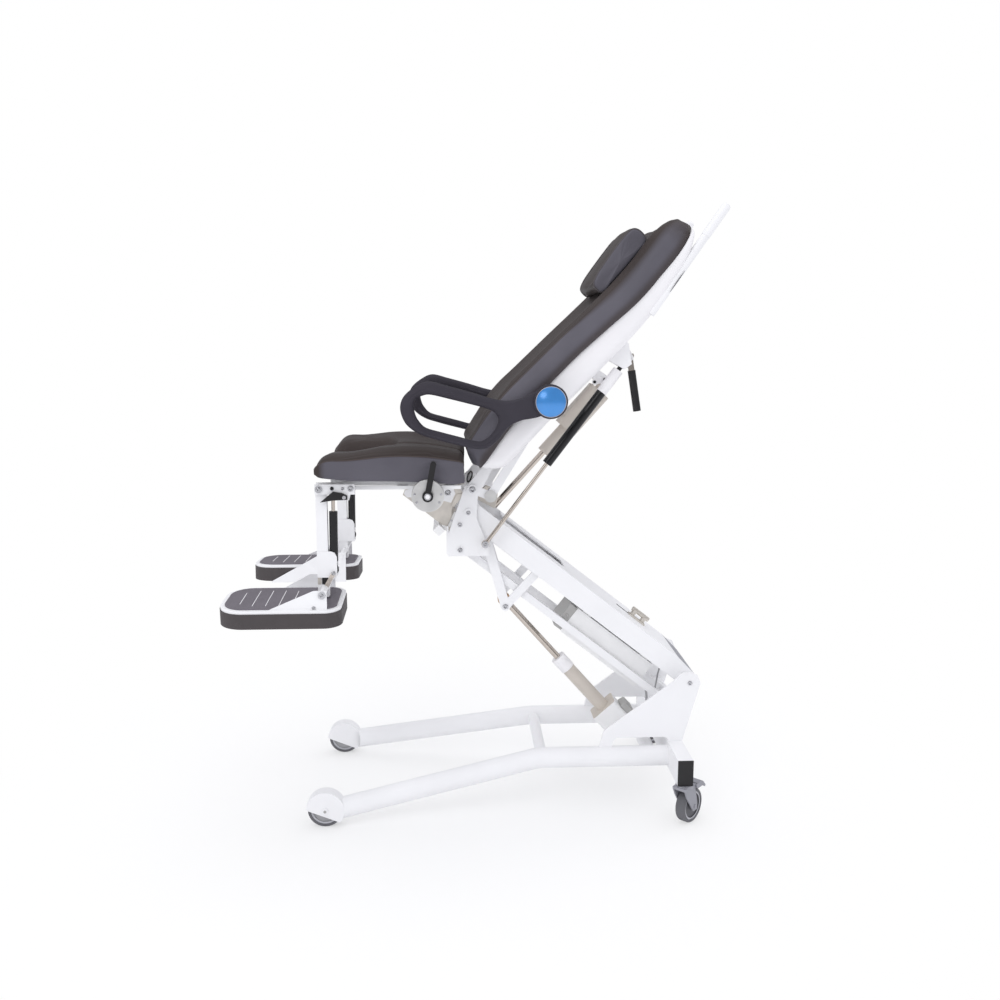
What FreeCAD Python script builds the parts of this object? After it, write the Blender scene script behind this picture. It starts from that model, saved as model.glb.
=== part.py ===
import FreeCAD, Part
import math
import os

# Gynecological examination chair on a wheeled lifting base.
# Millimetres. +Z up, the patient faces -X, the patient's left is -Y.
# The origin lies on the floor under the middle of the chair.

V = FreeCAD.Vector
os.makedirs("parts", exist_ok=True)

# Driving dimensions: general fits
RUN = 0.05          # radial running clearance of a shaft in its bore
GAP = 0.5           # side gap between pieces that turn past each other
SEATED = 0.3        # gap between a cushion and what it rests on
PAD_GAP = 1.0       # from the chair's middle to each thigh pad
PAD_TRIM = 1.5      # trimmed off the pad where the two pads meet
BORE_PLAY = 0.4     # radial play of actuator rods in their tubes

# Base
WHEEL_R = 50.0              # front wheels and rear casters
TRACK_FRONT = 520.0         # between the middles of the front wheels
FRONT_AXLE_X = -422.0
WHEEL_W = 28.0
TYRE_T = 9.0                # thickness of the tread
AXLE_R = 6.0
FENDER_T = 2.5
FENDER_SIDE = 3.0           # wheel to fender cheek
FENDER_OVER = 2.0           # wheel to fender roof
FENDER_CUT = 17.0           # cut line below the axle
FENDER_SLOPE = 22.0         # degrees, falling to the rear
LEG_OD = 60.0
LEG_WALL = 3.0
LEG_FRONT_Z = 40.0          # height of the leg's middle at the front axle
LEG_BEND_X = 195.0
LEG_BEND_R = 160.0
LEG_Y = 170.0               # half spacing of the rear, parallel stretch
LEG_Z = 151.0
CROSS_X = 205.0
CROSS_OD = 34.0
BEAM_X = 600.0
BEAM_W = 44.0
BEAM_H = 75.0
BEAM_Z = 121.0              # underside
BEAM_HALF = 315.0
BEAM_WALL = 3.0
CAP_T = 4.0
PLATE_T = 6.0               # side plates of the base
SLOT_TOP = 209.0
SLOT_X0 = 415.0
SLOT_X1 = 580.0

# Casters
CASTER_Y = BEAM_HALF - 12.0
CASTER_TRAIL = 28.0
CASTER_TURN = 45.0          # degrees that the photographed casters are swivelled
CASTER_W = 30.0
FORK_T = 4.0
FORK_SIDE = 2.0
STEM_R = 10.0
PEDAL_R = 5.0
PEDAL_X = 33.0              # pedal pin behind the swivel axis

# Lift: parallelogram of arm and link
A0 = (640.0, 374.0)         # arm pivot on the base (x, z)
A1 = (-9.0, 882.0)          # arm pivot on the carrier
LINK_DX = -24.0
LINK_DZ = -109.0
SHAFT_R = 12.0
ARM_HALF = 120.0
ARM_TOP = 34.0              # above the line of pivots
ARM_LOW = 27.0              # below the line of pivots
ARM_WALL = 4.0
ARM_FORK = 105.0            # open length at the upper end
ARM_SLOT = 340.0            # end of the top opening for the back actuator
ARM_SLOT_HALF = 48.0
BUSH_R = 19.0
LINK_IN = 66.0              # inner faces of the link's two bars
LINK_T = 16.0
LINK_H = 22.0
LINK_BUSH_R = 15.0
LINK_PIN_R = 9.0
CARRIER_IN = 126.0          # inner faces of the carrier's two plates
CARRIER_T = 6.0

# Control box under the arm, along the arm from the carrier pivot
BOX_S0 = 450.0
BOX_S1 = 742.0
BOX_CAP = 26.0
BOX_DROP = 12.0             # arm to box
BOX_H = 88.0
BOX_HALF = 60.0
HOOK_S = 600.0
CABLE_R = 3.5               # cable from the box to the base
WIRE_R = 2.5                # thinner cable from the arm to the base
CABLE_Y = -40.0
WIRE_Y = -28.0
CABLE_BEND = 24.0

# Lift actuator
K0 = (468.0, 177.0)         # foot on the base
K1_S = 265.0                # head below the arm: along the arm from the carrier pivot
K1_N = -161.0
BRACKET_IN = 86.0           # inner faces of the bracket's bars
BRACKET_T = 8.0
PIN_R = 6.0
OPEN_CLEAR = 7.0            # play of the open linkage pivots
LIFT_ROD_R = 10.0
LIFT_TUBE_R = 21.0
LIFT_TUBE_TOP = 251.0       # from the head pivot at rest
LIFT_GEAR_TOP = 465.0
LIFT_GEAR_LEN = 62.0
LIFT_GEAR_H = 86.0
LIFT_GEAR_W = 80.0
EYE_W = 20.0
ROD_HOLD = 46.0             # rod inside its tube at rest
MOUNT_TUBE_X = 531.0
MOUNT_TUBE_R = 20.0

# Back
S = (3.0, 950.0)            # hinge of the back on the carrier
BACK_TILT = 50.0            # degrees above level, as photographed
S_SHAFT_R = 10.0
BACK_PLATE_T = 6.0
PAD_HALF = 240.0
PAD_BOTTOM = 62.0           # along the back, from the hinge
PAD_TOP = 946.0
PAD_T = 80.0
SHELL_HALF = 222.0
SHELL_T = 4.0
STAY_FOOT = (55.0, 930.0)   # lug beside the hinge, foot of the flat stay
STAY_TOP = 250.0
STAY_R = 12.5
STAY_BOSS = 6.0
PILLOW_HALF = 150.0
HANDLE_Y = 205.0
HANDLE_R = 12.5
HUB_T = 331.0               # armrest hub along the back
HUB_N = 7.0
HUB_R = 46.0
ARM_Y = 282.0
ARM_TUBE = 30.0
ARM_OUT = 303.0             # outer and inner faces of the armrest hubs
ARM_IN = 262.0
HUB_SHAFT_R = 10.0
CAP_H = 6.0
HANDLE_FOOT = (690.0, -58.0)    # lower end, along the back and in front of its hinge line
HANDLE_END = (1036.0, -27.0)
HANDLE_HELD = 254.0         # thinner length, up to the top of the shell
B0 = (62.0, 868.0)          # back actuator: foot on the carrier
B1 = (405.0, 1248.0)        # head on the back
B_ROD_R = 9.0
B_TUBE_R = 19.0
B_TUBE_START = 232.0
B_GEAR_START = 328.0
B_STROKE = 71.0
B_GEAR_END = 478.0
B_GEAR_H = 66.0
B_GEAR_W = 76.0
G0 = (39.0, 794.0)          # gas spring: rod eye on the carrier
G1 = (430.0, 1310.0)        # cylinder eye on the back
G_Y = -156.0
G_ROD_R = 6.0
G_CYL_R = 14.0
G_CYL_START = 290.0
G_EYE_W = 14.0
LEVER_PIVOT = (448.0, 1322.0)
GRIP_END = (472.0, 1172.0)
LEVER_W = 10.0
LEVER_PIN_R = 4.0

# Seat
D = (-121.0, 951.0)         # tilt pivot and clamp
SEAT_SHAFT_R = 8.0
RAIL_Y = 229.0              # inner face of the rails
RAIL_W = 7.0
RAIL_Z0 = 966.0
HOLD_Z0 = 958.0             # underside of the plates that hold the footrests
HOLD_Z1 = 986.0
RAIL_Z1 = 976.0
RAIL_FRONT = -426.0
RAIL_REAR = -30.0
FRONT_PLATE_X1 = -318.0
SEAT_FRONT = -420.0
SEAT_REAR = -17.0
NOTCH_X = -350.0
NOTCH_R = 135.0
SEAT_TOP = 1080.0
SEAT_EDGE_FRONT = 1002.0    # underside of the pads at the front
SEAT_EDGE_REAR = 980.0
SEAT_HALF = 250.0           # outer edge of the pads at the rear
SEAT_SPLAY = 85.0           # further out at the front
SPLAY_X = -120.0
BOARD_HALF = 222.0
CROSS_BAR_FRONT = -190.0
CROSS_BAR_REAR = -60.0
DISC_R = 45.0
DISC_IN = 252.0             # inner face of the clamp disc, just outside the pads
DISC_T = 9.0

# Footrests
FOOT_Y = 250.0
F0 = (-415.0, 973.0)        # swing pivot
POST_W = 30.0               # along X
POST_D = 24.0               # along Y
POST_X = -410.5
POST_BOTTOM = 690.0
F_BALL = (-379.0, 973.0)    # fixed upper end of the footrest gas spring
F_FOOT = (-381.0, 746.0)    # its lower end on the post's cover
F_CYL_R = 11.5
F_ROD_R = 5.0
F_CYL_TOP = 64.0            # below the ball
PLATE_FRONT = -688.0
PLATE_REAR = -355.0
PLATE_HALF = 107.0
PLATE_Z = 667.0             # top of the tread in the middle
PLATE_ROLL = 3.5            # degrees, outer edge lower
RIM_T = 8.0
FOOT_OUT = 265.0            # inner face of the outer front plates
BALL_R = 5.0
F_PIN_R = 5.0
F_CLEAR = 4.0               # play of the open pivot at the spring's foot
F_SWING = 45.0              # degrees that a footrest swings forward
TRIGGER = (-346.0, 951.0)
TRIGGER_W = 8.0
BUMPER_H = 42.0
TOE_R = 72.0                # plan corners of the footplates
HEEL_R = 48.0

# Worked out from the values above
L0 = (A0[0] + LINK_DX, A0[1] + LINK_DZ)
L1 = (A1[0] + LINK_DX, A1[1] + LINK_DZ)
ARM_LEN = math.hypot(A0[0] - A1[0], A0[1] - A1[1])
LINK_LEN = ARM_LEN
FENDER_R = WHEEL_R + FENDER_OVER + FENDER_T


def on_line(start, end, along, off=0.0):
    """Point (x, z) at a distance along start to end, and off to its left side."""
    dx, dz = end[0] - start[0], end[1] - start[1]
    length = math.hypot(dx, dz)
    dx, dz = dx / length, dz / length
    return (start[0] + along * dx - off * dz, start[1] + along * dz + off * dx)


K1 = on_line(A1, A0, K1_S, K1_N)
BACK_U = (math.cos(math.radians(BACK_TILT)), math.sin(math.radians(BACK_TILT)))


def back_point(t, n):
    """Point (x, z) at t along the back from its hinge and n in front of that line."""
    return (S[0] + t * BACK_U[0] - n * BACK_U[1], S[1] + t * BACK_U[1] + n * BACK_U[0])


HUB = back_point(HUB_T, HUB_N)
NODES = {}


def add(name, *solids):
    """Keep the solids of one named piece."""
    NODES.setdefault(name, []).extend(solids)


def box(x0, x1, y0, y1, z0, z1):
    return Part.makeBox(x1 - x0, y1 - y0, z1 - z0, V(x0, y0, z0))


def rod_y(point, y0, y1, r, bore=0.0):
    """Round bar along Y at (x, z), with an optional bore."""
    bar = Part.makeCylinder(r, y1 - y0, V(point[0], y0, point[1]), V(0, 1, 0))
    if bore:
        bar = bar.cut(Part.makeCylinder(bore, y1 - y0 + 2, V(point[0], y0 - 1, point[1]), V(0, 1, 0)))
    return bar


def rod(p, q, r):
    """Round bar between two points."""
    return Part.makeCylinder(r, (q - p).Length, p, q - p)


def plate_y(points, y0, y1):
    """Flat plate with an outline of (x, z) points, between two Y faces."""
    wire = Part.makePolygon([V(x, y0, z) for x, z in points] + [V(points[0][0], y0, points[0][1])])
    return Part.Face(wire).extrude(V(0, y1 - y0, 0))


def strap_y(p, q, r, y0, y1):
    """Flat bar with round ends from (x, z) p to q."""
    a = on_line(p, q, 0, r)
    b = on_line(p, q, math.hypot(q[0] - p[0], q[1] - p[1]), r)
    c = (2 * q[0] - b[0], 2 * q[1] - b[1])
    d = (2 * p[0] - a[0], 2 * p[1] - a[1])
    return plate_y([a, b, c, d], y0, y1).fuse([rod_y(p, y0, y1, r), rod_y(q, y0, y1, r)]).removeSplitter()


def laid(shape, start, end):
    """Place a piece made along +X from the origin on the line start to end in the XZ plane."""
    turn = -math.degrees(math.atan2(end[1] - start[1], end[0] - start[0]))
    done = shape.copy()
    done.rotate(V(0, 0, 0), V(0, 1, 0), turn)
    done.translate(V(start[0], 0, start[1]))
    return done


def mirrored(shape):
    return shape.mirror(V(0, 0, 0), V(0, 1, 0))


def bolt_y(point, y0, y1, r, head_r, head_t, side):
    """Bolt along Y whose head sits outside y0 (side -1) or y1 (side 1)."""
    shank = rod_y(point, y0, y1, r)
    head = rod_y(point, y0 - head_t, y0, head_r) if side < 0 else rod_y(point, y1, y1 + head_t, head_r)
    return shank.fuse(head).removeSplitter()


def rounded(points):
    """Closed wire at Y = 0 of (x, z, r) corners, each rounded by its own radius."""
    edges = []
    ends = []
    count = len(points)
    for i in range(count):
        p, q, s = [V(points[(i + k) % count][0], 0, points[(i + k) % count][1]) for k in (-1, 0, 1)]
        radius = points[i][2]
        u, w = (p - q).normalize(), (s - q).normalize()
        half = u.getAngle(w) / 2
        cut = radius / math.tan(half)
        ends.append((q + u * cut, q + (u + w).normalize() * (radius / math.sin(half) - radius), q + w * cut))
    for i, (start, middle, end) in enumerate(ends):
        edges.append(Part.Arc(start, middle, end).toShape())
        edges.append(Part.makeLine(end, ends[(i + 1) % count][0]))
    return Part.Wire(edges)


# Base frame

def bent_bar(points, bend, r):
    """Solid round bar: straight runs joined by round elbows."""
    runs = []
    last = points[0]
    for before, corner, after in zip(points, points[1:], points[2:]):
        u, w = (before - corner).normalize(), (after - corner).normalize()
        half = u.getAngle(w) / 2
        cut = bend / math.tan(half)
        start, end = corner + u * cut, corner + w * cut
        middle = corner + (u + w).normalize() * (bend / math.sin(half))
        disc = Part.Face(Part.Wire(Part.makeCircle(r, start, u)))
        elbow = disc.revolve(middle, (start - middle).cross(end - middle), 180 - 2 * math.degrees(half))
        runs += [rod(last, start, r), elbow]
        last = end
    runs.append(rod(last, points[-1], r))
    return runs[0].fuse(runs[1:]).removeSplitter()


def base_leg():
    """Left leg: bent tube, cut round where the fender of its front wheel is welded on."""
    y_front = -TRACK_FRONT / 2
    ends = [V(FRONT_AXLE_X, y_front, LEG_FRONT_Z), V(LEG_BEND_X, -LEG_Y, LEG_Z),
            V(BEAM_X - BEAM_W / 2, -LEG_Y, LEG_Z)]
    tube = bent_bar(ends, LEG_BEND_R, LEG_OD / 2).cut(bent_bar(ends, LEG_BEND_R, LEG_OD / 2 - LEG_WALL))
    tube = tube.cut(rod_y((FRONT_AXLE_X, WHEEL_R), y_front - 60, y_front + 60, FENDER_R))
    return max(tube.Solids, key=lambda s: s.Volume)


def front_fender():
    """Left fender: round cover over the front wheel, cut off slantwise below."""
    y_front = -TRACK_FRONT / 2
    half_in = WHEEL_W / 2 + FENDER_SIDE
    half_out = half_in + FENDER_T
    axle = (FRONT_AXLE_X, WHEEL_R)
    fender = rod_y(axle, y_front - half_out, y_front + half_out, FENDER_R)
    fender = fender.cut(rod_y(axle, y_front - half_in, y_front + half_in, FENDER_R - FENDER_T))
    reach = 3 * WHEEL_R
    below = Part.makeBox(2 * reach, 200, reach, V(-reach, -100, -reach - FENDER_CUT))
    below.rotate(V(0, 0, 0), V(0, 1, 0), FENDER_SLOPE)
    below.translate(V(FRONT_AXLE_X, y_front, WHEEL_R))
    fender = fender.cut(below).cut(rod_y(axle, y_front - 60, y_front + 60, AXLE_R))
    return max(fender.Solids, key=lambda s: s.Volume)


def side_plate():
    """Left side plate between leg, rear beam and the lift pivots."""
    tube_top = LEG_Z + LEG_OD / 2
    beam_top = BEAM_Z + BEAM_H
    points = [(372, tube_top - 8), (388, 231), (592, 380), (612, 401), (640, 407), (662, 398), (672, 374),
              (BEAM_X + BEAM_W / 2, beam_top), (SLOT_X1, beam_top), (SLOT_X1 - 2, SLOT_TOP - 6),
              (SLOT_X1 - 7, SLOT_TOP - 2), (SLOT_X1 - 14, SLOT_TOP),
              (SLOT_X0 + 10, SLOT_TOP), (SLOT_X0, SLOT_TOP - 12), (SLOT_X0 - 5, tube_top - 8)]
    plate = plate_y(points, -LEG_Y - PLATE_T / 2, -LEG_Y + PLATE_T / 2)
    plate = plate.cut(Part.makeCylinder(LEG_OD / 2, 900, V(0, -LEG_Y, LEG_Z), V(1, 0, 0)))
    plate = plate.cut(rod_y(A0, -250, 0, SHAFT_R)).cut(rod_y(L0, -250, 0, LINK_PIN_R))
    return plate


leg_left = base_leg()
fender_left = front_fender()
add("base_legs", leg_left, mirrored(leg_left), fender_left, mirrored(fender_left))
plate_left = side_plate()
add("side_plates", plate_left, mirrored(plate_left))
cross_y = LEG_Y + 1.0
cross = Part.makeCylinder(CROSS_OD / 2, 2 * cross_y, V(CROSS_X, -cross_y, LEG_Z), V(0, 1, 0))
cross = cross.cut(leg_left).cut(mirrored(leg_left))
add("base_cross_members", max(cross.Solids, key=lambda s: s.Volume))
beam = box(BEAM_X - BEAM_W / 2, BEAM_X + BEAM_W / 2, -BEAM_HALF, BEAM_HALF, BEAM_Z, BEAM_Z + BEAM_H)
beam_in = box(BEAM_X - BEAM_W / 2 + BEAM_WALL, BEAM_X + BEAM_W / 2 - BEAM_WALL, -BEAM_HALF, BEAM_HALF,
              BEAM_Z + BEAM_WALL, BEAM_Z + BEAM_H - BEAM_WALL)
beam = beam.cut(beam_in)
for side in (-1, 1):
    beam = beam.cut(Part.makeCylinder(STEM_R + RUN, BEAM_WALL + 2, V(BEAM_X, side * CASTER_Y, BEAM_Z - 1)))
    end = min(side * BEAM_HALF, side * (BEAM_HALF + CAP_T))
    cap = box(BEAM_X - BEAM_W / 2, BEAM_X + BEAM_W / 2, end, end + CAP_T, BEAM_Z, BEAM_Z + BEAM_H)
    add("beam_end_caps", cap)
add("rear_beam", beam)

for side in (-1, 1):
    half_out = WHEEL_W / 2 + FENDER_SIDE + FENDER_T
    middle = side * TRACK_FRONT / 2
    axle_pin = bolt_y((FRONT_AXLE_X, WHEEL_R), middle - half_out, middle + half_out, AXLE_R, 9.0, 4.0, side)
    add("base_shafts", axle_pin)

plate_out = LEG_Y + PLATE_T / 2
shaft = rod_y(A0, -plate_out, plate_out, SHAFT_R)
for side in (-1, 1):
    inner = sorted((side * (ARM_HALF + GAP), side * (LEG_Y - PLATE_T / 2)))
    shaft = shaft.fuse(rod_y(A0, inner[0], inner[1], SHAFT_R + 6))
add("base_shafts", shaft.removeSplitter())
add("base_shafts", rod_y(L0, -plate_out, plate_out, LINK_PIN_R))

mount_tube = Part.makeCylinder(MOUNT_TUBE_R, 2 * cross_y, V(MOUNT_TUBE_X, -cross_y, LEG_Z), V(0, 1, 0))
mount_tube = mount_tube.cut(leg_left).cut(mirrored(leg_left))
mount = max(mount_tube.Solids, key=lambda s: s.Volume)
for side in (-1, 1):
    ys = sorted((side * (EYE_W / 2 + 1), side * (EYE_W / 2 + 9)))
    mount = mount.fuse(strap_y((MOUNT_TUBE_X, LEG_Z), K0, 15.0, ys[0], ys[1]))
mount = mount.fuse(rod_y(K0, -EYE_W / 2 - 9, EYE_W / 2 + 9, PIN_R)).removeSplitter()
add("base_cross_members", mount)


# Wheels and casters

def wheel(point, y_mid, width, bore):
    """Tyre and core of one wheel with its axis along Y."""
    core_r = WHEEL_R - TYRE_T
    y0, y1 = y_mid - width / 2, y_mid + width / 2
    tyre = rod_y(point, y0, y1, WHEEL_R, core_r)
    circles = [e for e in tyre.Edges if e.Curve.TypeId == "Part::GeomCircle"]
    rims = [e for e in circles if abs(e.Curve.Radius - WHEEL_R) < 0.1]
    tyre = tyre.makeFillet(5.0, rims)
    core = rod_y(point, y0 + 2, y1 - 2, core_r, bore + RUN)
    for side in (y0 - 1, y1 - 6):
        dish = rod_y(point, side, side + 7, core_r - 5)
        core = core.cut(dish.cut(rod_y(point, side - 1, side + 8, bore + 7)))
    return [tyre, core]


for name, side in (("left", -1), ("right", 1)):
    add("front_wheel_" + name, *wheel((FRONT_AXLE_X, WHEEL_R), side * TRACK_FRONT / 2, WHEEL_W, AXLE_R))

FORK_TOP = BEAM_Z - GAP
FORK_PLATE = FORK_TOP - 9
PEDAL_Z = FORK_PLATE


def caster_fork():
    """Fork with stem, trailing to +X, swivel axis at the origin."""
    inner = CASTER_W / 2 + FORK_SIDE
    fork = Part.makeCylinder(STEM_R, 40 + GAP, V(0, 0, FORK_TOP))
    fork = fork.fuse(Part.makeCylinder(24, 9, V(0, 0, FORK_PLATE)))
    crown = [(-27, FORK_PLATE + 6), (30, FORK_PLATE + 6), (44, FORK_PLATE - 6),
             (26, FORK_PLATE - 5), (-27, FORK_PLATE - 2)]
    fork = fork.fuse(plate_y(crown, -inner - FORK_T, inner + FORK_T))
    for y0 in (-inner - FORK_T, inner):
        cheek = [(-27, FORK_PLATE), (26, FORK_PLATE),
                 (CASTER_TRAIL + 13, WHEEL_R + 4), (CASTER_TRAIL + 12, WHEEL_R - 13),
                 (CASTER_TRAIL - 8, WHEEL_R - 13), (-14, FORK_PLATE - 26)]
        fork = fork.fuse(plate_y(cheek, y0, y0 + FORK_T))
    axle = (CASTER_TRAIL, WHEEL_R)
    fork = fork.fuse(rod_y(axle, -inner - FORK_T - 2, inner + FORK_T + 2, AXLE_R))
    clear = rod_y(axle, -inner, inner, WHEEL_R + 3).cut(rod_y(axle, -inner - 1, inner + 1, AXLE_R))
    fork = fork.cut(clear)
    pin = (PEDAL_X, PEDAL_Z)
    return fork.cut(rod_y(pin, -60, 60, PEDAL_R + RUN)).removeSplitter()


def caster_pedal():
    """Brake pedal on its cross pin in front of the fork's crown."""
    inner = CASTER_W / 2 + FORK_SIDE
    tread = [(PEDAL_X + 3, PEDAL_Z + 6), (PEDAL_X + 26, PEDAL_Z + 7), (PEDAL_X + 40, PEDAL_Z - 8),
             (PEDAL_X + 38, PEDAL_Z - 14), (PEDAL_X + 22, PEDAL_Z), (PEDAL_X + 9, PEDAL_Z - 1)]
    reach = inner + FORK_T + 6
    pedal = plate_y(tread, -reach, reach)
    for y0 in (-reach, reach - 4):
        pedal = pedal.fuse(strap_y((PEDAL_X, PEDAL_Z), (PEDAL_X + 18, PEDAL_Z + 1), 7.0, y0, y0 + 4))
    return pedal.fuse(rod_y((PEDAL_X, PEDAL_Z), -reach, reach, PEDAL_R)).removeSplitter()


def at_caster(shape, side):
    """Swivel a caster piece as photographed and set it under its end of the beam."""
    done = shape.copy()
    done.rotate(V(0, 0, 0), V(0, 0, 1), -side * CASTER_TURN)
    done.translate(V(BEAM_X, side * CASTER_Y, 0))
    return done


for name, side in (("left", -1), ("right", 1)):
    add("caster_fork_" + name, at_caster(caster_fork(), side))
    for piece in wheel((CASTER_TRAIL, WHEEL_R), 0.0, CASTER_W, AXLE_R):
        add("caster_wheel_" + name, at_caster(piece, side))
    add("brake_pedal_" + name, at_caster(caster_pedal(), side))


# Lift arm, link and carrier

def lift_arm():
    """Box arm made along +X from the carrier pivot, open at its upper end."""
    end = ARM_LEN
    outline = [(-30, -ARM_LOW + 6), (-24, -ARM_LOW), (end + 14, -ARM_LOW),
               (end + 26, -5), (end + 14, ARM_TOP - 10),
               (end - 56, ARM_TOP), (-12, ARM_TOP), (-30, ARM_TOP - 20)]
    wall = ARM_WALL
    hollow = [(-40, -ARM_LOW + wall), (end + 11, -ARM_LOW + wall),
              (end + 22, -5), (end + 11, ARM_TOP - 10 - wall),
              (end - 57, ARM_TOP - wall), (-40, ARM_TOP - wall)]
    inside = ARM_HALF - wall - 1
    arm = plate_y(outline, -ARM_HALF, ARM_HALF).cut(plate_y(hollow, -inside, inside))
    arm = arm.cut(box(-60, ARM_FORK, -inside, inside, -ARM_LOW + wall, ARM_TOP + 5))
    arm = arm.cut(box(-60, 62, -inside, inside, -ARM_LOW - 5, ARM_TOP + 5))
    arm = arm.cut(box(ARM_FORK - 1, ARM_SLOT, -ARM_SLOT_HALF, ARM_SLOT_HALF, ARM_TOP - wall - 1, ARM_TOP + 1))
    for x in (0.0, end):
        arm = arm.fuse(rod_y((x, 0), -ARM_HALF, ARM_HALF, BUSH_R))
    for x in (0.0, end):
        arm = arm.cut(rod_y((x, 0), -ARM_HALF - 1, ARM_HALF + 1, SHAFT_R + RUN))
    return arm.removeSplitter()


def actuator_bracket():
    """Pair of V-shaped bars below the arm that hold the lift actuator's head pin."""
    head = (K1_S, K1_N)
    out = BRACKET_IN + BRACKET_T
    bracket = rod_y(head, -out, out, PIN_R)
    for side in (-1, 1):
        y0, y1 = sorted((side * BRACKET_IN, side * out))
        for top, r in (((94.0, -ARM_LOW - 8), 14.0), ((K1_S + 10, -ARM_LOW - 8), 12.0)):
            bar = strap_y(top, head, r, y0, y1)
            bracket = bracket.fuse(bar.cut(box(-200, 1000, -200, 200, -ARM_LOW, 200)))
        ys = sorted((side * (EYE_W / 2 + 1.5), side * BRACKET_IN))
        bracket = bracket.fuse(rod_y(head, ys[0], ys[1], PIN_R + 4))
    foot = box(80, K1_S + 30, -out, out, -ARM_LOW - 5, -ARM_LOW)
    inner = LINK_IN - 2
    return bracket.fuse(foot.cut(box(125, K1_S - 20, -inner, inner, -60, 0))).removeSplitter()


def on_arm(shape):
    return laid(shape, A1, A0)


add("lift_arm", on_arm(lift_arm()))
add("actuator_bracket", on_arm(actuator_bracket()))
box_top = -ARM_LOW - BOX_DROP
control = box(BOX_S0, BOX_S1, -BOX_HALF, BOX_HALF, box_top - BOX_H, box_top)
low_edges = [e for e in control.Edges if e.BoundBox.YLength > BOX_HALF and e.BoundBox.ZMax < box_top - 1]
control = control.makeFillet(6.0, low_edges)
for x in (BOX_S0 + 20, BOX_S1 - 50):
    control = control.fuse(box(x, x + 30, -BOX_HALF + 8, BOX_HALF - 8, box_top, -ARM_LOW))
end_cap = box(BOX_S0 - BOX_CAP, BOX_S0, -BOX_HALF + 2, BOX_HALF - 2, box_top - BOX_H + 3, box_top - 3)
add("control_box", on_arm(control.removeSplitter()))
add("control_box", on_arm(end_cap))
hook = box(HOOK_S, HOOK_S + 60, -14, 14, ARM_TOP, ARM_TOP + 5)
for x in (HOOK_S + 5, HOOK_S + 42):
    hook = hook.fuse(box(x, x + 12, -8, 8, ARM_TOP, ARM_TOP + 22))
hook = hook.fuse(Part.makeCylinder(7, 62, V(HOOK_S, 0, ARM_TOP + 22), V(1, 0, 0))).removeSplitter()
add("cable_hook", on_arm(hook))


def parallel_link():
    """Lower link of the lift: two bars with a wide cross bush at each end."""
    link = None
    for y0 in (-LINK_IN - LINK_T, LINK_IN):
        bar = box(0, LINK_LEN, y0, y0 + LINK_T, -LINK_H / 2, LINK_H / 2)
        link = bar if link is None else link.fuse(bar)
    halves = ((0.0, CARRIER_IN - GAP), (LINK_LEN, LEG_Y - PLATE_T / 2 - GAP))
    for x, half in halves:
        link = link.fuse(rod_y((x, 0), -half, half, LINK_BUSH_R))
    for x, half in halves:
        link = link.cut(rod_y((x, 0), -half - 1, half + 1, LINK_PIN_R + RUN))
    return link.removeSplitter()


add("parallel_link", laid(parallel_link(), L1, L0))

CARRIER_OUT = CARRIER_IN + CARRIER_T
BRACE = (-33.0, 847.0)
carrier_outline = [(-18, 958), (-8, 968), (12, 968), (21, 958), (15, 866), (25, 838), (50, 782), (50, 754),
                   (-68, 754), (-72, 804)]


def carrier_frame():
    """Two plates joined by a hinge tube, a brace tube, a front plate and the actuator lugs."""
    frame = None
    for y0 in (-CARRIER_OUT, CARRIER_IN):
        plate = plate_y(carrier_outline, y0, y0 + CARRIER_T)
        frame = plate if frame is None else frame.fuse(plate)
    frame = frame.fuse(rod_y(S, -CARRIER_IN, CARRIER_IN, S_SHAFT_R + 7))
    frame = frame.fuse(box(-72, -66, -CARRIER_OUT, CARRIER_OUT, 760, 842))
    for y0 in (-EYE_W / 2 - 9, EYE_W / 2 + 1):
        frame = frame.fuse(strap_y(S, B0, 15.0, y0, y0 + 8))
    frame = frame.fuse(rod_y(B0, -EYE_W / 2 - 9, EYE_W / 2 + 9, PIN_R))
    for point, r in ((S, S_SHAFT_R), (A1, SHAFT_R), (L1, LINK_PIN_R)):
        frame = frame.cut(rod_y(point, -CARRIER_OUT - 1, CARRIER_OUT + 1, r))
    return frame.removeSplitter()


carrier = carrier_frame()
add("carrier_frame", carrier)
add("carrier_pins", rod_y(A1, -CARRIER_OUT - 6, CARRIER_OUT + 6, SHAFT_R))
add("carrier_pins", rod_y(L1, -CARRIER_OUT - 5, CARRIER_OUT + 5, LINK_PIN_R))
back_out = CARRIER_OUT + GAP + BACK_PLATE_T
hinge = rod_y(S, -back_out - GAP - 6, back_out + GAP + 6, S_SHAFT_R)
for side in (-1, 1):
    ys = sorted((side * (back_out + GAP), side * (back_out + GAP + 6)))
    hinge = hinge.fuse(rod_y(S, ys[0], ys[1], S_SHAFT_R + 5))
    ys = sorted((side * CARRIER_OUT, side * (CARRIER_OUT + 5)))
    add("carrier_pins", rod_y(BRACE, ys[0], ys[1], 7.0))
add("carrier_pins", hinge.removeSplitter())
add("carrier_pins", bolt_y(G0, G_Y - G_EYE_W / 2 - GAP, -CARRIER_OUT, PIN_R, PIN_R + 4, 4.0, -1))

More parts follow.
